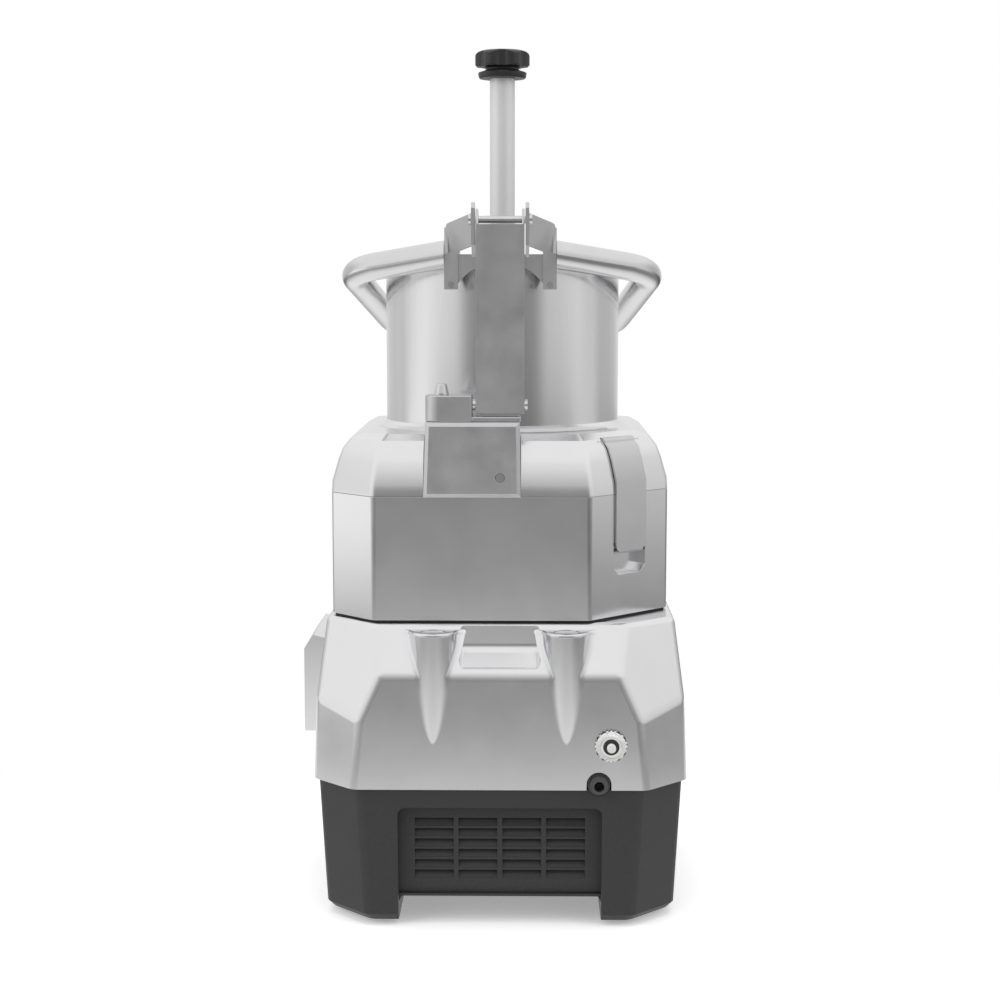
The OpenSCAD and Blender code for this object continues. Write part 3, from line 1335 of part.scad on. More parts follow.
// Knob: a domed cap with six lobes, on a waist above a round flange
module rod_knob() {
    lobe_r = 8;
    r = knob_d / 2;
    waist_r = r * 0.61;
    under = knob_h * 0.4;
    core_r = r - 3.7;
    // corner where a lobe meets the core, seen from the lobe centre and from the axis
    corner_x = ((r - lobe_r) * (r - lobe_r) + core_r * core_r - lobe_r * lobe_r) / (2 * (r - lobe_r));
    corner_y = sqrt(core_r * core_r - corner_x * corner_x);
    a = atan2(corner_y, corner_x - r + lobe_r);
    b = atan2(corner_y, corner_x);
    color(black) translate([0, 0, rod_top]) {
        rotate_extrude() polygon([
            [0, seat], [r * 0.84, seat], [r * 0.87, 1.2], [r * 0.893, 4.6], [r * 0.87, 5.2],
            [r * 0.7, 6.4], [waist_r, 7.3], [waist_r, knob_h * 0.35], [r * 0.66, under],
            [r * 0.66, under + 1], [0, under + 1]]);
        intersection() {
            translate([0, 0, under]) linear_extrude(height = knob_h)
                polygon([for (i = [0:5]) let (m = i * 60, c = (r - lobe_r) * [cos(m), sin(m)]) each concat(
                    arc(c, lobe_r, m - a, m + a, 10), [core_r * [cos(m + (b + 30) / 2), sin(m + (b + 30) / 2)],
                    core_r * [cos(m + 30), sin(m + 30)],
                    core_r * [cos(m + 45 - b / 2), sin(m + 45 - b / 2)]])]);
            rotate_extrude() polygon([
                [0, under - 1], [r - 1.6, under - 1], [r - 1.6, under], [r + 0.2, under + 1.8],
                [r + 0.2, knob_h - 6], [r - 0.5, knob_h - 4], [r - 2.2, knob_h - 2.4],
                [r - 5.5, knob_h - 1.2], [r * 0.4, knob_h - 0.3], [0, knob_h]]);
        }
    }
}

base_shell();
shell_skirt();
skirt_legs();
bottom_plate();
rear_grille();
rubber_feet();
case_screws();
bowl_gasket();
bowl();
discharge_chute();
latch_keeper();
hinge_pin();
cable_gland();
gland_nut();
reset_bezel();
reset_nut();
protector_body();
side_console();
switch_blocks();
spindle_housing();
spindle_bearings();
lip_seal();
motor_body();
motor_plate();
motor_posts();
drive_belt();
run_capacitor();
control_board();
terminal_block();
spindle();
big_pulley();
ejector_disc();
slicing_disc();
slicing_blade();
hub_nut();
rotor();
small_pulley();
cooling_fan();
cover();
feed_hopper();
hinge_box();
box_screw();
hinge_block();
column_lug();
lower_pin();
latch_pin();
latch_strap();
column();
upper_pin();
lever_yoke();
handle_tube();
yoke_screws();
pusher_plate();
feed_tube();
crosshead_pins();
small_pusher();
rod_knob();
reset_button();
start_button();
stop_button();
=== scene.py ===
import math

import bmesh
import bpy
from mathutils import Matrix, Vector


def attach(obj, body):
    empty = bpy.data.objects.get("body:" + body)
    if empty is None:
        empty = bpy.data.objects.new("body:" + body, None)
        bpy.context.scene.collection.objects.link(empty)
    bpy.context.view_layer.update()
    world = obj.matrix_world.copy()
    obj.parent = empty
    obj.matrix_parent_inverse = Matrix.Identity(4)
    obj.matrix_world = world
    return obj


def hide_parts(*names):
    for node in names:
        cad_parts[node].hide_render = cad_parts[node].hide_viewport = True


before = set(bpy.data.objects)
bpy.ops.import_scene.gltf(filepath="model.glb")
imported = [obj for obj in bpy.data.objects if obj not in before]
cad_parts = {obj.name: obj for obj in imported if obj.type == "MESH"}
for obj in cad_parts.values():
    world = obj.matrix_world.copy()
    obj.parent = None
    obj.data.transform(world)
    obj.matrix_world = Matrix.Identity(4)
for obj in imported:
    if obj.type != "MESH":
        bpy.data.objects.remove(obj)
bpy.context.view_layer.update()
bpy.ops.object.select_all(action="DESELECT")

# Camera.
# A long lens a little above the feed hopper looks at the rear of the machine,
# where the hinge, the column and the cable gland are.
camera = bpy.data.cameras.new("camera")
camera.sensor_width = 36
camera.lens = 68.0
camera.clip_start = 0.05
camera_stand = bpy.data.objects.new("camera", camera)
bpy.context.collection.objects.link(camera_stand)
camera_stand.location = (0.0217, -1.640, 0.523)
camera_stand.rotation_euler = (math.radians(83.27), 0, math.radians(0.83))
bpy.context.scene.camera = camera_stand
bpy.context.scene.view_settings.view_transform = "Standard"

# Studio.
# A white sweep all round, with three broad lamps. In polished metal the room is darker
# behind the camera and behind the machine, and the floor darkens there and to the sides.
WHITE = (1, 1, 1, 1)
FILL_LEVEL = 0.75
MIRRORED_TOP = (0.97, 0.97, 0.97, 1)
FLOOR_TONE = (0.88, 0.88, 0.88, 1)
FLOOR_GLOW = 0.30
BOUNCE_TONE = (0.42, 0.42, 0.42, 1)
MIRRORED_FLOOR = 1.25
LAMPS = (("left_lamp", (-1.7, -1.1, 1.3), 1.5, 16),
         ("right_lamp", (1.7, -0.9, 1.3), 1.5, 10),
         ("top_lamp", (0.0, 0.2, 2.0), 2.0, 20))
LAMP_AIM = Vector((0, 0, 0.35))


def linked(tree, kind, **sockets):
    """A shader node whose sockets get values, or links from other nodes' sockets.

    A socket is given by its name with underscores, or as i and its place in the list.
    """
    made = tree.nodes.new(kind)
    for name, value in sockets.items():
        key = int(name[1:]) if name[0] == "i" and name[1:].isdigit() else name.replace("_", " ")
        if isinstance(value, bpy.types.NodeSocket):
            tree.links.new(value, made.inputs[key])
        else:
            made.inputs[key].default_value = value
    return made


def ramp(tree, value, low, high, *stops):
    """A grey level that follows a value between two limits, through smooth stops."""
    span = linked(tree, "ShaderNodeMapRange", Value=value, From_Min=low, From_Max=high)
    made = linked(tree, "ShaderNodeValToRGB", Fac=span.outputs[0])
    made.color_ramp.interpolation = "EASE"
    elements = made.color_ramp.elements
    while len(elements) < len(stops):
        elements.new(0.5)
    for element, (place, level) in zip(elements, stops):
        element.position = (place - low) / (high - low)
        element.color = (level, level, level, 1)
    return made.outputs["Color"]


def times(tree, one, two):
    """The product of two levels."""
    made = linked(tree, "ShaderNodeVectorMath", i0=one, i1=two)
    made.operation = "MULTIPLY"
    return made.outputs[0]


def by_ray(tree, plain, mirrored, shown):
    """One light for plain rays, one for rays from gloss or glass, and one for the camera."""
    ray = tree.nodes.new("ShaderNodeLightPath")
    shiny = linked(tree, "ShaderNodeMath", i0=ray.outputs["Is Glossy Ray"],
                   i1=ray.outputs["Is Transmission Ray"])
    shiny.operation = "MAXIMUM"
    unseen = linked(tree, "ShaderNodeMixShader", Fac=shiny.outputs[0], i1=plain.outputs[0],
                    i2=mirrored.outputs[0])
    whole = linked(tree, "ShaderNodeMixShader", Fac=ray.outputs["Is Camera Ray"],
                   i1=unseen.outputs[0], i2=shown.outputs[0])
    return whole.outputs[0]


sky = bpy.data.worlds.new("studio")
bpy.context.scene.world = sky
sky.use_nodes = True
tree = sky.node_tree
tree.nodes.clear()
direction = tree.nodes.new("ShaderNodeTexCoord").outputs["Generated"]
towards = linked(tree, "ShaderNodeSeparateXYZ", i0=direction)
around = ramp(tree, towards.outputs["Y"], -1, 1, (-1, 0.26), (-0.88, 0.32), (-0.68, 0.78),
              (-0.2, 0.92), (0.1, 0.80), (0.45, 0.62), (0.8, 0.62), (0.93, 0.75), (1, 0.85))
above = ramp(tree, towards.outputs["Z"], 0, 1, (0.0, 0.0), (0.12, 0.05), (0.55, 1.0), (1.0, 1.0))
aside = ramp(tree, towards.outputs["X"], -1, 1, (-1, 1.06), (0.3, 1.0), (1, 0.88))
room_tone = linked(tree, "ShaderNodeMix", i0=above, i6=times(tree, around, aside), i7=MIRRORED_TOP)
room_tone.data_type = "RGBA"
filling = linked(tree, "ShaderNodeBackground", Color=WHITE, Strength=FILL_LEVEL)
mirrored_sky = linked(tree, "ShaderNodeBackground", Color=room_tone.outputs[2], Strength=1.0)
seen = linked(tree, "ShaderNodeBackground", Color=WHITE, Strength=1.0)
linked(tree, "ShaderNodeOutputWorld", Surface=by_ray(tree, filling, mirrored_sky, seen))

bpy.ops.mesh.primitive_circle_add(vertices=96, radius=5.0, fill_type="NGON", location=(0, 0, 0))
floor = bpy.context.object
floor.name = "floor"
floor_paint = bpy.data.materials.new("floor_paint")
floor_paint.use_nodes = True
tree = floor_paint.node_tree
tree.nodes.clear()
spot = tree.nodes.new("ShaderNodeTexCoord").outputs["Object"]
place = linked(tree, "ShaderNodeSeparateXYZ", i0=spot)
to_lens = ramp(tree, place.outputs["Y"], -5, 5, (-5, 0.21), (-2.4, 0.24), (-1.5, 0.30),
               (-1.0, 0.62), (-0.6, 0.86), (0.7, 0.92), (1.5, 0.46), (5, 0.46))
to_right = ramp(tree, place.outputs["X"], -5, 5, (-5, 1.0), (-2.4, 1.0), (-1.15, 0.34), (-0.45, 0.9),
                (0.35, 0.9), (1.0, 0.26), (1.6, 0.25), (2.6, 0.5), (5, 0.7))
mirrored_paint = linked(tree, "ShaderNodeEmission", Color=times(tree, to_lens, to_right),
                        Strength=MIRRORED_FLOOR)
dimmed = linked(tree, "ShaderNodeBsdfDiffuse", Color=BOUNCE_TONE)
lit = linked(tree, "ShaderNodeBsdfDiffuse", Color=FLOOR_TONE)
glow = linked(tree, "ShaderNodeEmission", Color=WHITE, Strength=FLOOR_GLOW)
shadowed = linked(tree, "ShaderNodeAddShader", i0=lit.outputs[0], i1=glow.outputs[0])
away = linked(tree, "ShaderNodeVectorMath", i0=spot)
away.operation = "LENGTH"
fade = ramp(tree, away.outputs["Value"], 0, 1, (0.0, 0.0), (0.30, 0.0), (0.62, 1.0), (1.0, 1.0))
backdrop = linked(tree, "ShaderNodeEmission", Color=WHITE, Strength=1.0)
shown = linked(tree, "ShaderNodeMixShader", Fac=fade, i1=shadowed.outputs[0],
               i2=backdrop.outputs[0])
linked(tree, "ShaderNodeOutputMaterial", Surface=by_ray(tree, dimmed, mirrored_paint, shown))
floor.data.materials.append(floor_paint)

for name, stand, size, power in LAMPS:
    lamp = bpy.data.lights.new(name, "AREA")
    lamp.size = size
    lamp.energy = power
    holder = bpy.data.objects.new(name, lamp)
    bpy.context.collection.objects.link(holder)
    holder.location = stand
    holder.rotation_euler = (LAMP_AIM - Vector(stand)).to_track_quat("-Z", "Y").to_euler()
    holder.visible_glossy = False

# Base shell.
# A cast aluminium hood over the drive, with big corner facets, two screw pillars
# and a finger notch at the rear. It is polished, and its edges are softly rounded.
CAST_TONE = (0.80, 0.80, 0.81)
CLOUD_SPAN = (0.25, 0.75)
GRAIN_SPAN = (0.3, 0.7)


def swing(tree, noise, span, middle, reach):
    """A level that swings to both sides of a middle as a noise crosses its span."""
    made = linked(tree, "ShaderNodeMapRange", Value=noise, From_Min=span[0], From_Max=span[1],
                  To_Min=middle - reach, To_Max=middle + reach)
    return made.outputs[0]


def finish(name, tone, metallic, roughness, cloud=(60, 60, 60), cloud_tone=0.05,
           cloud_rough=0.05, grain=(1500, 1500, 1500), grain_depth=0.00002, spot_tone=0.0):
    """A surface whose tone and gloss vary in clouds, over a fine grain that is raised as bump."""
    made = bpy.data.materials.new(name)
    made.use_nodes = True
    tree = made.node_tree
    tree.nodes.clear()
    place = tree.nodes.new("ShaderNodeTexCoord").outputs["Object"]
    broad = linked(tree, "ShaderNodeMapping", Vector=place, Scale=cloud)
    clouds = linked(tree, "ShaderNodeTexNoise", Vector=broad.outputs[0], Scale=1.0, Detail=4.0,
                    Roughness=0.6).outputs["Fac"]
    narrow = linked(tree, "ShaderNodeMapping", Vector=place, Scale=grain)
    grains = linked(tree, "ShaderNodeTexNoise", Vector=narrow.outputs[0], Scale=1.0, Detail=2.0,
                    Roughness=0.55).outputs["Fac"]
    level = linked(tree, "ShaderNodeMath", i0=swing(tree, clouds, CLOUD_SPAN, 1, cloud_tone),
                   i1=swing(tree, grains, GRAIN_SPAN, 1, spot_tone))
    level.operation = "MULTIPLY"
    gloss = swing(tree, clouds, CLOUD_SPAN, roughness, cloud_rough)
    bump = linked(tree, "ShaderNodeBump", Strength=1.0, Distance=grain_depth, Height=grains)
    surface = linked(tree, "ShaderNodeBsdfPrincipled", Metallic=metallic, Roughness=gloss,
                     Base_Color=times(tree, tone, level.outputs[0]), Normal=bump.outputs[0])
    linked(tree, "ShaderNodeOutputMaterial", Surface=surface.outputs[0])
    return made


def only(piece):
    """Makes one piece the selected and active one."""
    bpy.ops.object.select_all(action="DESELECT")
    piece.select_set(True)
    bpy.context.view_layer.objects.active = piece


def opened(name, mesh):
    """Puts a mesh into the scene as a piece, open for editing with all of it selected."""
    piece = bpy.data.objects.new(name, mesh)
    bpy.context.collection.objects.link(piece)
    only(piece)
    bpy.ops.object.mode_set(mode="EDIT")
    bpy.ops.mesh.select_all(action="SELECT")
    return piece


def loft(name, rings):
    """A closed solid through a stack of outlines with the same number of points."""
    n = len(rings[0])
    faces = [tuple(range(n)), tuple(range((len(rings) - 1) * n, len(rings) * n))]
    faces += [(k * n + i, k * n + (i + 1) % n, (k + 1) * n + (i + 1) % n, (k + 1) * n + i)
              for k in range(len(rings) - 1) for i in range(n)]
    mesh = bpy.data.meshes.new(name)
    mesh.from_pydata([point for ring in rings for point in ring], [], faces)
    piece = opened(name, mesh)
    bpy.ops.mesh.normals_make_consistent(inside=False)
    bpy.ops.object.mode_set(mode="OBJECT")
    return piece


def softened(piece, width, keep, segments=4, over=8):
    """Bevels the edges that turn by more than an angle and whose two ends pass a test."""
    only(piece)
    bpy.ops.object.mode_set(mode="EDIT")
    bpy.ops.mesh.select_mode(type="EDGE")
    bpy.ops.mesh.select_all(action="DESELECT")
    cage = bmesh.from_edit_mesh(piece.data)
    for edge in cage.edges:
        sharp = len(edge.link_faces) == 2 and edge.calc_face_angle() > math.radians(over)
        edge.select = sharp and keep([corner.co for corner in edge.verts])
    cage.select_flush_mode()
    bmesh.update_edit_mesh(piece.data)
    bpy.ops.mesh.bevel(offset=width, segments=segments, affect="EDGES", clamp_overlap=True)
    bpy.ops.object.mode_set(mode="OBJECT")
    return piece


def carved(piece, tool):
    """Cuts a tool out of a piece, and takes the tool away."""
    only(piece)
    cut = piece.modifiers.new("cut", "BOOLEAN")
    cut.operation = "DIFFERENCE"
    cut.solver = "MANIFOLD"
    cut.object = tool
    bpy.ops.object.modifier_apply(modifier=cut.name)
    bpy.data.objects.remove(tool)
    return piece


def brick(low, high):
    """A block between two corners, as a cutting tool."""
    size = [b - a for a, b in zip(low, high)]
    middle = [(a + b) / 2 for a, b in zip(low, high)]
    bpy.ops.mesh.primitive_cube_add(size=1, location=middle, scale=size)
    bpy.ops.object.transform_apply(location=True, rotation=False, scale=True)
    return bpy.context.object


def plug(radius, start, along, length):
    """A round cutting tool from a point along an axis."""
    turn = Vector(along).to_track_quat("Z", "Y").to_euler()
    middle = Vector(start) + Vector(along) * length / 2
    bpy.ops.mesh.primitive_cylinder_add(vertices=64, radius=radius, depth=length,
                                        location=middle, rotation=turn)
    bpy.ops.object.transform_apply(location=True, rotation=True, scale=True)
    return bpy.context.object


def shaded(piece, smooth=30):
    """Smooth shading up to an angle, with the large faces kept flat."""
    only(piece)
    bpy.ops.object.shade_smooth_by_angle(angle=math.radians(smooth))
    flat = piece.modifiers.new("flat", "WEIGHTED_NORMAL")
    flat.keep_sharp = True
    bpy.ops.object.modifier_apply(modifier=flat.name)
    return piece


def joined(piece, extra):
    """Takes a finished extra into a piece."""
    only(piece)
    extra.select_set(True)
    bpy.ops.object.join()


def fitted(piece, material, body, slot, *nodes):
    """Gives a finished piece its material, its body and the nodes that it stands for."""
    piece.data.materials.clear()
    piece.data.materials.append(material)
    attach(piece, body)
    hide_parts(*nodes)


UP = (0, 0, 1)
INWARD = (0, 1, 0)
SHELL_Z = 0.1154
DECK_Z = 0.2464
# From here to the hood, heights are above the shell's foot, widths are half widths, and
# depths are from the spindle to the rear or the front. Each end has its direction, its
# depth at the foot and its depth at the deck.
REAR_FOOT = 0.167
SHELL_ENDS = ((-1, REAR_FOOT, 0.141), (1, 0.150, 0.137))
FOOT_NARROW = 0.118
FOOT_WIDE = 0.153
FOOT_CUT = 0.036
DECK_NARROW = 0.1015
DECK_WIDE = 0.1425
DECK_CUT = 0.030
DECK_HEIGHT = 0.131
FACET_TIP_X = 0.11275
FACET_TIP_IN = 0.0039
FACET_TIP_HEIGHT = 0.0555
BROW_IN = 0.00637
BROW = 0.091
CHEEK_X = 0.150
CHEEK = 0.068
HOLLOW_BELOW = 0.003


def hood(name, wall, drop):
    """The convex body of the shell, drawn in by a wall and lowered under its deck."""
    corners = []
    for side in (-1, 1):
        for way, foot, deck in SHELL_ENDS:
            a = Vector((DECK_WIDE - wall, deck - DECK_CUT - wall, DECK_HEIGHT))
            b = Vector((DECK_NARROW - wall, deck - wall, DECK_HEIGHT))
            tip = Vector((FACET_TIP_X - wall, foot - FACET_TIP_IN - wall, FACET_TIP_HEIGHT))
            n = (b - a).cross(tip - a)
            # The facet's plane meets the upper edges of the end face and of the side face.
            y = foot - BROW_IN - wall
            x = CHEEK_X - wall
            brow = Vector((a.x - (n.y * (y - a.y) + n.z * (BROW - a.z)) / n.x, y, BROW))
            cheek = Vector((x, a.y - (n.x * (x - a.x) + n.z * (CHEEK - a.z)) / n.y, CHEEK))
            low = [Vector((FOOT_NARROW - wall, foot - wall, 0)),
                   Vector((FOOT_WIDE - wall, foot - FOOT_CUT - wall, 0))]
            # A hollow reaches below the foot, so that the shell is open underneath.
            for p in low + [a, b, brow, tip, cheek]:
                z = p.z - drop if p.z else -HOLLOW_BELOW * (drop > 0)
                corners.append((side * p.x, way * p.y, SHELL_Z + z))
    mesh = bpy.data.meshes.new(name)
    mesh.from_pydata(corners, [], [])
    piece = opened(name, mesh)
    bpy.ops.mesh.convex_hull()
    bpy.ops.mesh.select_all(action="SELECT")
    bpy.ops.mesh.dissolve_limited(angle_limit=math.radians(0.6))
    bpy.ops.object.mode_set(mode="OBJECT")
    return piece


POST_X = 0.0535
POST_Y = 0.1465
POST_HEIGHTS = (0.0287, 0.031, 0.035, 0.041, 0.049, 0.058, 0.068, 0.079, 0.088, 0.092, 0.097,
                0.103, 0.109, 0.115, 0.1205, 0.1230, 0.1234, 0.1247, 0.1256, 0.1260)
POST_RADIUS = 0.0179
COLLAR_RADIUS = 0.0185
COLLAR_HEIGHT = 0.1232
COLLAR_ROUNDING = {0.1256: 0.0005, 0.1260: 0.0014}
SEAT_RADIUS = 0.0103
SEAT_Y = -0.154
SEAT_DEEP = 0.009
FILLET = 0.0125
FILLET_LEAST = 0.0085
FILLET_TAPER = 0.25
FILLET_TAPER_HEIGHT = 0.085
REAR_LEAN = 0.07
REAR_BROW = 0.16063
BROW_LEAN = 0.4907
ARC_STEPS = 7
BOW_STEPS = 18


def pillar(x):
    """A screw pillar that grows out of the rear face with a hollow fillet on both sides."""
    rings = []
    for z in POST_HEIGHTS:
        r = FILLET
        if z >= FILLET_TAPER_HEIGHT:
            r = max(FILLET_LEAST, FILLET - (z - FILLET_TAPER_HEIGHT) * FILLET_TAPER)
        top = (COLLAR_RADIUS if z > COLLAR_HEIGHT else POST_RADIUS) - COLLAR_ROUNDING.get(z, 0)
        face = REAR_FOOT - REAR_LEAN * z if z < BROW else REAR_BROW - BROW_LEAN * (z - BROW)
        rise = POST_Y + top - face
        across = math.sqrt(max((top + r) ** 2 - (top - rise + r) ** 2, 1e-9))
        aim = math.atan2(POST_Y - face - r, -across)
        sweep = aim + math.pi / 2 - (2 * math.pi if aim > 0 else 0)
        arc = [(across + r * math.cos(a), face + r + r * math.sin(a))
               for a in [-math.pi / 2 + sweep * i / ARC_STEPS for i in range(ARC_STEPS + 1)]]
        start = math.atan2(arc[-1][1] - POST_Y, arc[-1][0])
        bow = [(top * math.cos(start + (math.pi - 2 * start) * i / BOW_STEPS),
                POST_Y + top * math.sin(start + (math.pi - 2 * start) * i / BOW_STEPS))
               for i in range(1, BOW_STEPS)]
        half = [(across + 0.0002, POST_Y - 0.007), (across + 0.0002, face - 0.0003)] + arc
        outline = half + bow + [(-u, v) for u, v in reversed(half)]
        rings.append([(x + u, -v, SHELL_Z + z) for u, v in outline])
    seat = plug(SEAT_RADIUS, (x, SEAT_Y, DECK_Z - SEAT_DEEP), UP, 0.01)
    return carved(loft("pillar", rings), seat)


SHELL_ROUNDING = 0.0045
SHELL_WALL = 0.006
DECK_WALL = 0.007
NOTCH_X = 0.033
NOTCH_DIP = ((-0.1415, 0.2474), (-0.1415, 0.2254), (-0.1590, 0.2104), (-0.169, 0.2104),
             (-0.169, 0.2474))
REAR_CUT = -0.170
NOTCH_ROOM = ((-0.039, REAR_CUT, 0.200), (0.039, -0.1355, 0.250))
SPINDLE_BORE = 0.0306
CONSOLE_WINDOW = ((-0.156, -0.052, SHELL_Z + 0.020), (-0.1285, 0.052, SHELL_Z + 0.092))
RESET_X = 0.089
RESET_Z = SHELL_Z + 0.036
RESET_BORE = 0.0061
GLAND_X = 0.0795
GLAND_Z = SHELL_Z + 0.0045
GLAND_BORE = 0.0100

cast = finish("polished_casting", CAST_TONE, 1.0, 0.21, cloud=(26, 26, 26), cloud_tone=0.02,
              cloud_rough=0.02, grain=(700, 700, 700), grain_depth=0.000003)
shell = softened(hood("shell_casting", 0, 0), SHELL_ROUNDING, segments=5,
                 keep=lambda ends: max(end.z for end in ends) > SHELL_Z + 0.001)

# The finger notch, rounded inside and then along its rim.
notch = loft("notch", [[(x, y, z) for y, z in NOTCH_DIP] for x in (-NOTCH_X, NOTCH_X)])
softened(notch, SHELL_ROUNDING, keep=lambda ends: max(end.y for end in ends) > -0.1600
         and min(end.z for end in ends) < 0.2470)
carved(shell, notch)
softened(shell, 0.0012, segments=3, over=25, keep=lambda ends: all(
    abs(end.x) < 0.034 and end.y < -0.139 and end.z > 0.209 for end in ends))

# The hollow inside, kept clear of the notch, and the openings for the spindle, the
# protector, the gland and the console.
hollow = hood("hollow", SHELL_WALL, DECK_WALL)
carved(hollow, brick(*NOTCH_ROOM))
carved(shell, hollow)
carved(shell, plug(SPINDLE_BORE, (0, 0, DECK_Z - 0.01), UP, 0.02))
carved(shell, plug(RESET_BORE, (RESET_X, REAR_CUT, RESET_Z), INWARD, 0.03))
carved(shell, plug(GLAND_BORE, (GLAND_X, REAR_CUT, GLAND_Z), INWARD, 0.022))
carved(shell, brick((0.0695, REAR_CUT, SHELL_Z - 0.002), (0.0895, -0.148, GLAND_Z)))
carved(shell, brick(*CONSOLE_WINDOW))
shaded(shell)
for side in (-1, 1):
    joined(shell, shaded(pillar(side * POST_X), smooth=40))
fitted(shell, cast, "root", "cast_aluminium", "base_shell")

# Skirt with its louvre panel.
# A dark moulded housing on four legs, with a fine spark-eroded texture. The louvre
# panel lies in a recess at the rear.
SKIRT_TALL = 0.111
SKIRT_LEAN = 0.006
SKIRT_X = 0.149
SKIRT_REAR = 0.163
SKIRT_FRONT = 0.146
SKIRT_CUT = 0.0355
SKIRT_CUT_LOSS = 0.4
SKIRT_RINGS = ((0.004, 0.0, 0.005), (0.010, 0.006, 0.0), (0.115, 0.111, 0.0))
ROOM_RINGS = ((0.024, 0.02, 0.005), (0.116, 0.111, 0.005))
ARCH_Z = 0.0241
SKIRT_FLOOR = -0.002


def clad(node, material):
    """A CAD node whose shape is right gets its finish."""
    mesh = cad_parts[node].data
    mesh.materials.clear()
    mesh.materials.append(material)


def skirt_outline(z, above, drawn):
    """The skirt's eight corners at a height above the floor and the leg tips, drawn in by a wall."""
    lean = SKIRT_LEAN * (1 - above / SKIRT_TALL)
    x = SKIRT_X - lean - drawn
    back = SKIRT_REAR - lean / 2 - drawn
    front = SKIRT_FRONT - lean / 2 - drawn
    k = SKIRT_CUT - drawn * SKIRT_CUT_LOSS
    return [(x, -back + k, z), (x, front - k, z), (x - k, front, z), (k - x, front, z),
            (-x, front - k, z), (-x, k - back, z), (k - x, -back, z), (x - k, -back, z)]


skirt_plastic = finish("textured_plastic", (0.030, 0.030, 0.031), 0.0, 0.58, cloud=(30, 30, 30),
                       cloud_tone=0.12, cloud_rough=0.06, grain=(1400, 1400, 1400),
                       grain_depth=0.00006, spot_tone=0.25)
skirt = loft("skirt_moulding", [skirt_outline(*ring) for ring in SKIRT_RINGS])
softened(skirt, 0.0045, segments=5, over=20,
         keep=lambda ends: abs(ends[0].z - ends[1].z) > 0.003)
softened(skirt, 0.0012, segments=2, over=30,
         keep=lambda ends: ends[0].z < 0.0041 and ends[1].z < 0.0041)

# The room inside, with walls left behind the recess, and the arches between the legs.
room = loft("room", [skirt_outline(*ring) for ring in ROOM_RINGS])
carved(room, brick((-0.085, -0.18, 0.020), (0.085, -0.1512, 0.102)))
carved(skirt, room)
arch = softened(brick((-0.082, -0.2, SKIRT_FLOOR), (0.082, 0.2, ARCH_Z)), 0.006, segments=2,
                keep=lambda ends: min(end.z for end in ends) > 0.02
                and abs(ends[0].y - ends[1].y) > 0.1)
carved(skirt, arch)
carved(skirt, brick((-0.2, -0.074, SKIRT_FLOOR), (0.2, 0.074, ARCH_Z)))

# The recess of the louvre panel, rounded at its upper corners and along its rim.
recess = softened(brick((-0.082, -0.18, SKIRT_FLOOR), (0.082, -0.1511, 0.099)), 0.006, segments=5,
                  keep=lambda ends: min(end.z for end in ends) > 0.09
                  and abs(ends[0].y - ends[1].y) > 0.01)
carved(skirt, recess)
softened(skirt, 0.0009, segments=3, over=35, keep=lambda ends: all(
    abs(end.x) < 0.0835 and end.y < -0.1515 for end in ends))

# The seat of the gland, and behind it the slotted tongue that takes the gland's neck.
carved(skirt, plug(GLAND_BORE, (GLAND_X, REAR_CUT, GLAND_Z), INWARD, 0.0075))
shaded(skirt)
tongue = plug(0.0090, (GLAND_X, -0.1625, GLAND_Z), INWARD, 0.004)
carved(tongue, brick((0.0733, -0.17, GLAND_Z), (0.0857, -0.15, SHELL_Z + 0.03)))
joined(skirt, tongue)
fitted(skirt, skirt_plastic, "root", "dark_plastic", "shell_skirt", "skirt_legs")
clad("rear_grille", skirt_plastic)

# Underside and case screws.
# A sheet closes the skirt, and is screwed to the leg blocks. It is coloured near black as
# painted shade, for the shadow under the machine. Four moulded rubber feet sit in the legs.
# The large screw heads lie in the pillars of the shell.
sheet_zinc = finish("zinc_sheet", (0.55, 0.56, 0.58), 1.0, 0.38, cloud=(45, 45, 45), cloud_tone=0.1,
                    grain=(400, 400, 400), grain_depth=0.00001)
rubber = finish("moulded_rubber", (0.022, 0.022, 0.022), 0.0, 0.7, grain=(2200, 2200, 2200),
                grain_depth=0.00004, spot_tone=0.2)
# Near black as painted shade: the sheet lies in the shadow under the skirt.
shade_dark_sheet = finish("underside_painted_shade", (0.03, 0.03, 0.03), 0.0, 0.5)
clad("bottom_plate", shade_dark_sheet)
clad("rubber_feet", rubber)
clad("case_screws", cast)

# Bowl with its gasket.
# The cutting chamber is a polished casting on a black rubber gasket. Its upright
# corners are cut off, its edges are rounded, and the latch has a finger recess.


def merged(node, name):
    """A copy of a CAD node with joined faces, to be fitted in its place."""
    piece = opened(name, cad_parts[node].data.copy())
    bpy.ops.mesh.remove_doubles(threshold=0.00002)
    bpy.ops.mesh.dissolve_limited(angle_limit=math.radians(0.4))
    bpy.ops.object.mode_set(mode="OBJECT")
    return piece


def rounded(piece, width, angle=28, segments=3, smooth=32):
    """Rounds the edges that are sharper than an angle, and shades the rest smooth."""
    only(piece)
    edge = piece.modifiers.new("edge", "BEVEL")
    edge.width = width
    edge.segments = segments
    edge.limit_method = "ANGLE"
    edge.angle_limit = math.radians(angle)
    edge.miter_outer = "MITER_ARC"
    edge.use_clamp_overlap = True
    bpy.ops.object.modifier_apply(modifier=edge.name)
    return shaded(piece, smooth)


bowl = rounded(merged("bowl", "bowl_casting"), width=0.0015)
fitted(bowl, cast, "root", "cast_aluminium", "bowl")
clad("bowl_gasket", rubber)
clad("latch_keeper", sheet_zinc)

# Discharge chute.
# A polished cast outlet hood at the front, where the cut food leaves the bowl.
chute = rounded(merged("discharge_chute", "chute_hood"), width=0.003)
fitted(chute, cast, "root", "cast_aluminium", "discharge_chute")

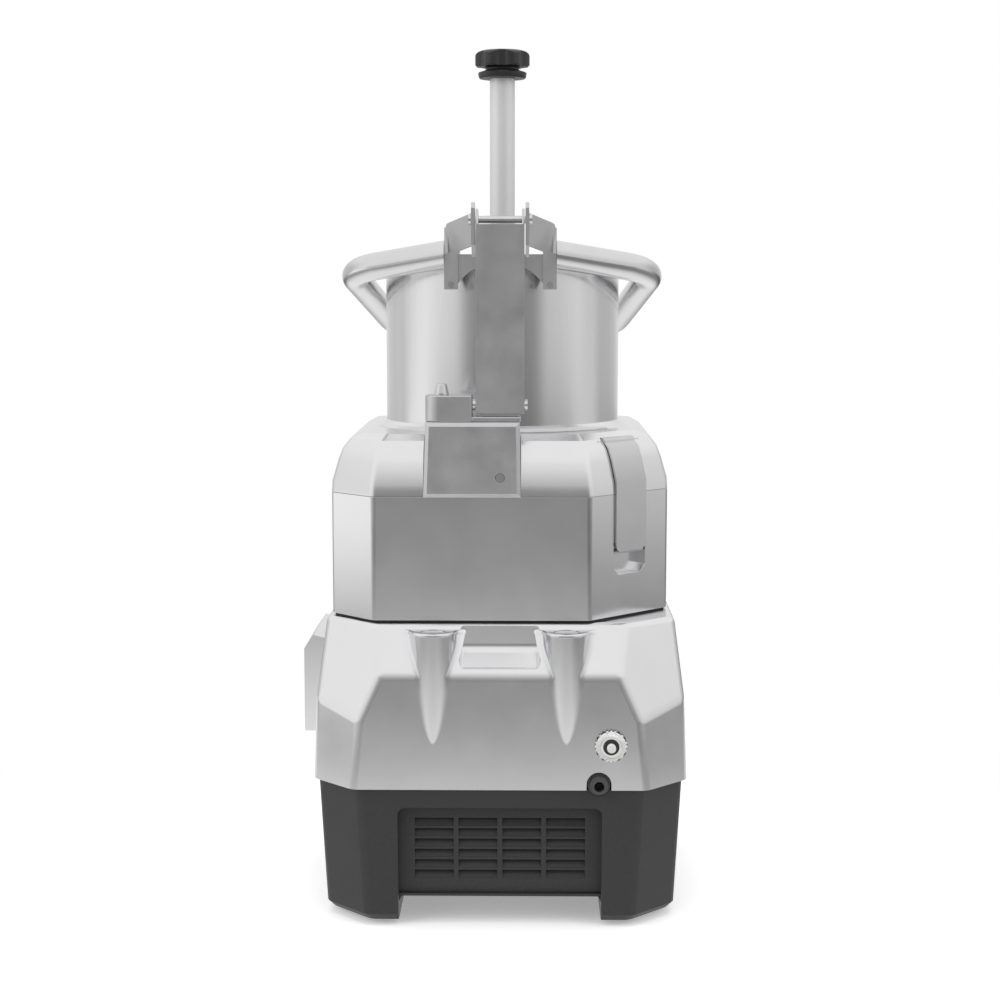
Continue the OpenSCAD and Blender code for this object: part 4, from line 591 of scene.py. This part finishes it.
# Cable gland and motor protector.
# A glossy black nylon gland sits in a notch of the shell. Above it the protector's white
# button sits in a black neck, which a bright nut holds in a ribbed bezel with a white face.
BEZEL_FACE_RADIUS = 0.0112
nylon = finish("black_nylon", (0.02, 0.02, 0.02), 0.0, 0.38, grain=(1800, 1800, 1800),
               grain_depth=0.00002, spot_tone=0.15)
white_cap = finish("white_button", (0.80, 0.80, 0.79), 0.0, 0.35)
bright_nut = finish("bright_nickel", (0.80, 0.79, 0.77), 1.0, 0.18)
glossy_nylon = finish("glossy_nylon", (0.06, 0.06, 0.06), 0.0, 0.2, grain_depth=0.00001)

gland = rounded(merged("cable_gland", "gland_body"), width=0.0012, segments=5)
fitted(gland, glossy_nylon, "root", "black_plastic", "cable_gland")
clad("gland_nut", nylon)

bezel = rounded(merged("reset_bezel", "protector_bezel"), width=0.0002, segments=2)
fitted(bezel, nylon, "root", "dark_plastic", "reset_bezel")
bezel.data.materials.append(white_cap)
for face in bezel.data.polygons:
    if math.hypot(face.center.x - RESET_X, face.center.z - RESET_Z) < BEZEL_FACE_RADIUS:
        face.material_index = 1

reset_nut = rounded(merged("reset_nut", "protector_nut"), width=0.0005)
fitted(reset_nut, bright_nut, "root", "turned_steel", "reset_nut")
clad("protector_body", nylon)
reset_button = rounded(merged("reset_button", "protector_button"), width=0.0008)
fitted(reset_button, white_cap, "reset_key", "white_plastic", "reset_button")

# Side console.
# A polished cast cover over the switches, on one side of the shell, with a green start
# button and a red stop button.
green_cap = finish("green_button", (0.02, 0.22, 0.06), 0.0, 0.3)
red_cap = finish("red_button", (0.45, 0.02, 0.015), 0.0, 0.3)
console = rounded(merged("side_console", "console_casting"), width=0.003)
fitted(console, cast, "root", "cast_aluminium", "side_console")
clad("switch_blocks", nylon)
start_cap = rounded(merged("start_button", "start_cap"), width=0.0006)
fitted(start_cap, green_cap, "start_key", "green_plastic", "start_button")
stop_cap = rounded(merged("stop_button", "stop_cap"), width=0.0006)
fitted(stop_cap, red_cap, "stop_key", "red_plastic", "stop_button")

# Drive under the deck.
# The motor hangs from the deck on a zinc-plated sheet with posts, and drives the spindle
# by a rubber belt. A control board, a run capacitor and a terminal block go with it.
turned = finish("turned_steel", (0.70, 0.70, 0.71), 1.0, 0.22, grain=(60, 60, 2600),
                grain_depth=0.000012)
motor_paint = finish("motor_casting", (0.45, 0.46, 0.47), 1.0, 0.42, grain=(900, 900, 900),
                     grain_depth=0.00004)
board_green = finish("board_lacquer", (0.015, 0.12, 0.05), 0.0, 0.35)
ivory = finish("ivory_polymer", (0.62, 0.60, 0.54), 0.0, 0.45)
for node in ("spindle_housing", "big_pulley", "motor_plate", "motor_posts"):
    clad(node, sheet_zinc)
for node in ("spindle_bearings", "rotor", "small_pulley", "spindle"):
    clad(node, turned)
for node in ("motor_body", "run_capacitor"):
    clad(node, motor_paint)
for node in ("drive_belt", "lip_seal"):
    clad(node, rubber)
clad("cooling_fan", nylon)
clad("control_board", board_green)
clad("terminal_block", ivory)

# Cutting set.
# A ground steel disc with one blade turns above an ejector disc of ivory plastic, under
# a black hub nut.
ground = finish("ground_steel", (0.74, 0.74, 0.75), 1.0, 0.16, grain=(500, 500, 500),
                grain_depth=0.000008)
clad("ejector_disc", ivory)
clad("slicing_disc", ground)
clad("slicing_blade", ground)
clad("hub_nut", nylon)

# Cover.
# The faceted head casting, drawn in from the bowl outline to the hopper, with a
# fillet ring at the hopper's foot.
cover = rounded(merged("cover", "cover_casting"), width=0.0018, angle=20, segments=5, smooth=19)
fitted(cover, cast, "feed_head", "cast_aluminium", "cover")

# Feed hopper.
# A rolled and welded stainless tube, polished along its length. It stands on the cover.
hopper_steel = finish("drawn_stainless", (0.78, 0.78, 0.785), 1.0, 0.2, cloud=(50, 50, 2),
                      cloud_tone=0.06, cloud_rough=0.05, grain=(900, 900, 12), grain_depth=0.000014)
hopper = rounded(merged("feed_hopper", "hopper_tube"), width=0.0005)
fitted(hopper, hopper_steel, "feed_head", "turned_steel", "feed_hopper")

# Hinge box, block and column lug.
# Bead-blasted castings on the feed head. The head swings on a turned pin with a cone
# tip, and the column stands on the lug.
blasted = finish("blasted_casting", (0.66, 0.66, 0.67), 1.0, 0.36, cloud=(40, 40, 40),
                 cloud_tone=0.05, grain=(2500, 2500, 2500), grain_depth=0.00003, spot_tone=0.05)
for node, name, width in (("hinge_box", "hinge_housing", 0.0012), ("hinge_block", "hinge_arm", 0.001),
                          ("column_lug", "lug_casting", 0.0008)):
    fitted(rounded(merged(node, name), width), blasted, "feed_head", "satin_casting", node)
for node in ("box_screw", "lower_pin", "latch_pin"):
    clad(node, turned)
hinge_pin = rounded(merged("hinge_pin", "hinge_post"), width=0.0008)
fitted(hinge_pin, turned, "root", "turned_steel", "hinge_pin")

# Latch strap.
# A bent strip of satin stainless steel, rolled round its pin at the top. It lies on the
# bevel of the cover and reaches down over the bowl.
strap_steel = finish("satin_strap", (0.66, 0.66, 0.665), 1.0, 0.4, cloud=(40, 40, 40),
                     cloud_tone=0.03, grain=(1400, 1400, 60), grain_depth=0.00001)
strap = rounded(merged("latch_strap", "latch_strip"), width=0.0005)
fitted(strap, strap_steel, "latch", "satin_steel", "latch_strap")

# Column.
# A folded channel of bead-blasted steel, pinned to the lug below and to the lever above.
column = rounded(merged("column", "column_channel"), width=0.0012)
fitted(column, blasted, "column", "satin_steel", "column")
clad("upper_pin", turned)

# Lever.
# A folded yoke of satin steel on the upper pin carries the fork arms and the handle, a
# polished tube that is bent round the hopper.
HANDLE_AT = (-0.112, 0.54083)
HANDLE_SLOPE = math.radians(14)
HANDLE_X = 0.0451
HANDLE_STOPS = ((HANDLE_X, 0), (0.126, 0.052), (0.098, 0.28497), (-0.098, 0.28497),
                (-0.126, 0.052), (-HANDLE_X, 0))
HANDLE_BENDS = (0.045, 0.0675, 0.0675, 0.045)
HANDLE_RADIUS = 0.0113
HANDLE_BORE = 0.0098
BEND_STEPS = 18
BAR_SIDES = 40


def bar(name, radius, over):
    """A bent round bar in the sloping plane of the handle, which runs over at both ends."""
    stops = [Vector(stop) for stop in HANDLE_STOPS]
    path = [stops[0] - over * (stops[1] - stops[0]).normalized()]
    for i, bend in enumerate(HANDLE_BENDS, start=1):
        back, on = (stops[i - 1] - stops[i]).normalized(), (stops[i + 1] - stops[i]).normalized()
        half = back.angle(on) / 2
        hub = stops[i] + (back + on).normalized() * bend / math.sin(half)
        first = (stops[i] + back * bend / math.tan(half) - hub).normalized()
        last = (stops[i] + on * bend / math.tan(half) - hub).normalized()
        across = (last - first * last.dot(first)).normalized()
        turn = math.pi - 2 * half
        path += [hub + bend * (math.cos(turn * k / BEND_STEPS) * first
                               + math.sin(turn * k / BEND_STEPS) * across)
                 for k in range(BEND_STEPS + 1)]
    path.append(stops[5] - over * (stops[4] - stops[5]).normalized())
    rings = []
    for i, point in enumerate(path):
        along = (path[min(i + 1, len(path) - 1)] - path[max(i - 1, 0)]).normalized()
        ring = []
        for k in range(BAR_SIDES):
            out = radius * math.cos(math.tau * k / BAR_SIDES)
            up = radius * math.sin(math.tau * k / BAR_SIDES)
            reach = point.y + along.x * out
            ring.append((point.x - along.y * out,
                         HANDLE_AT[0] + reach * math.cos(HANDLE_SLOPE) + up * math.sin(HANDLE_SLOPE),
                         HANDLE_AT[1] - reach * math.sin(HANDLE_SLOPE) + up * math.cos(HANDLE_SLOPE)))
        rings.append(ring)
    return loft(name, rings)


tube_steel = finish("polished_tube", (0.70, 0.70, 0.705), 1.0, 0.18, cloud=(40, 40, 40),
                    cloud_tone=0.03, cloud_rough=0.03, grain=(700, 700, 700), grain_depth=0.000006)
yoke = rounded(merged("lever_yoke", "yoke_sheet"), width=0.0006)
fitted(yoke, strap_steel, "lever", "satin_steel", "lever_yoke")
handle = carved(bar("handle_bar", HANDLE_RADIUS, over=HANDLE_RADIUS),
                bar("bore", HANDLE_BORE, over=2 * HANDLE_RADIUS))
carved(handle, brick((-HANDLE_X, -0.15, 0.5), (HANDLE_X, -0.08, 0.6)))
fitted(shaded(handle, smooth=40), tube_steel, "lever", "turned_steel", "handle_tube")
clad("yoke_screws", turned)

# Pusher.
# A cast plate on a steel feed tube, with the crosshead pins in the lever's fork.
clad("pusher_plate", cast)
clad("feed_tube", turned)
clad("crosshead_pins", turned)

# Small pusher with its knob.
# A satin anodised rod with a piston, and a lobed black knob moulded on top.
rod_satin = finish("anodised_rod", (0.72, 0.72, 0.725), 0.4, 0.42, cloud=(60, 60, 3),
                   cloud_tone=0.04, grain=(1200, 1200, 20), grain_depth=0.00001)
clad("small_pusher", rod_satin)
knob = rounded(merged("rod_knob", "knob_moulding"), width=0.001)
fitted(knob, nylon, "inner_pusher", "black_plastic", "rod_knob")
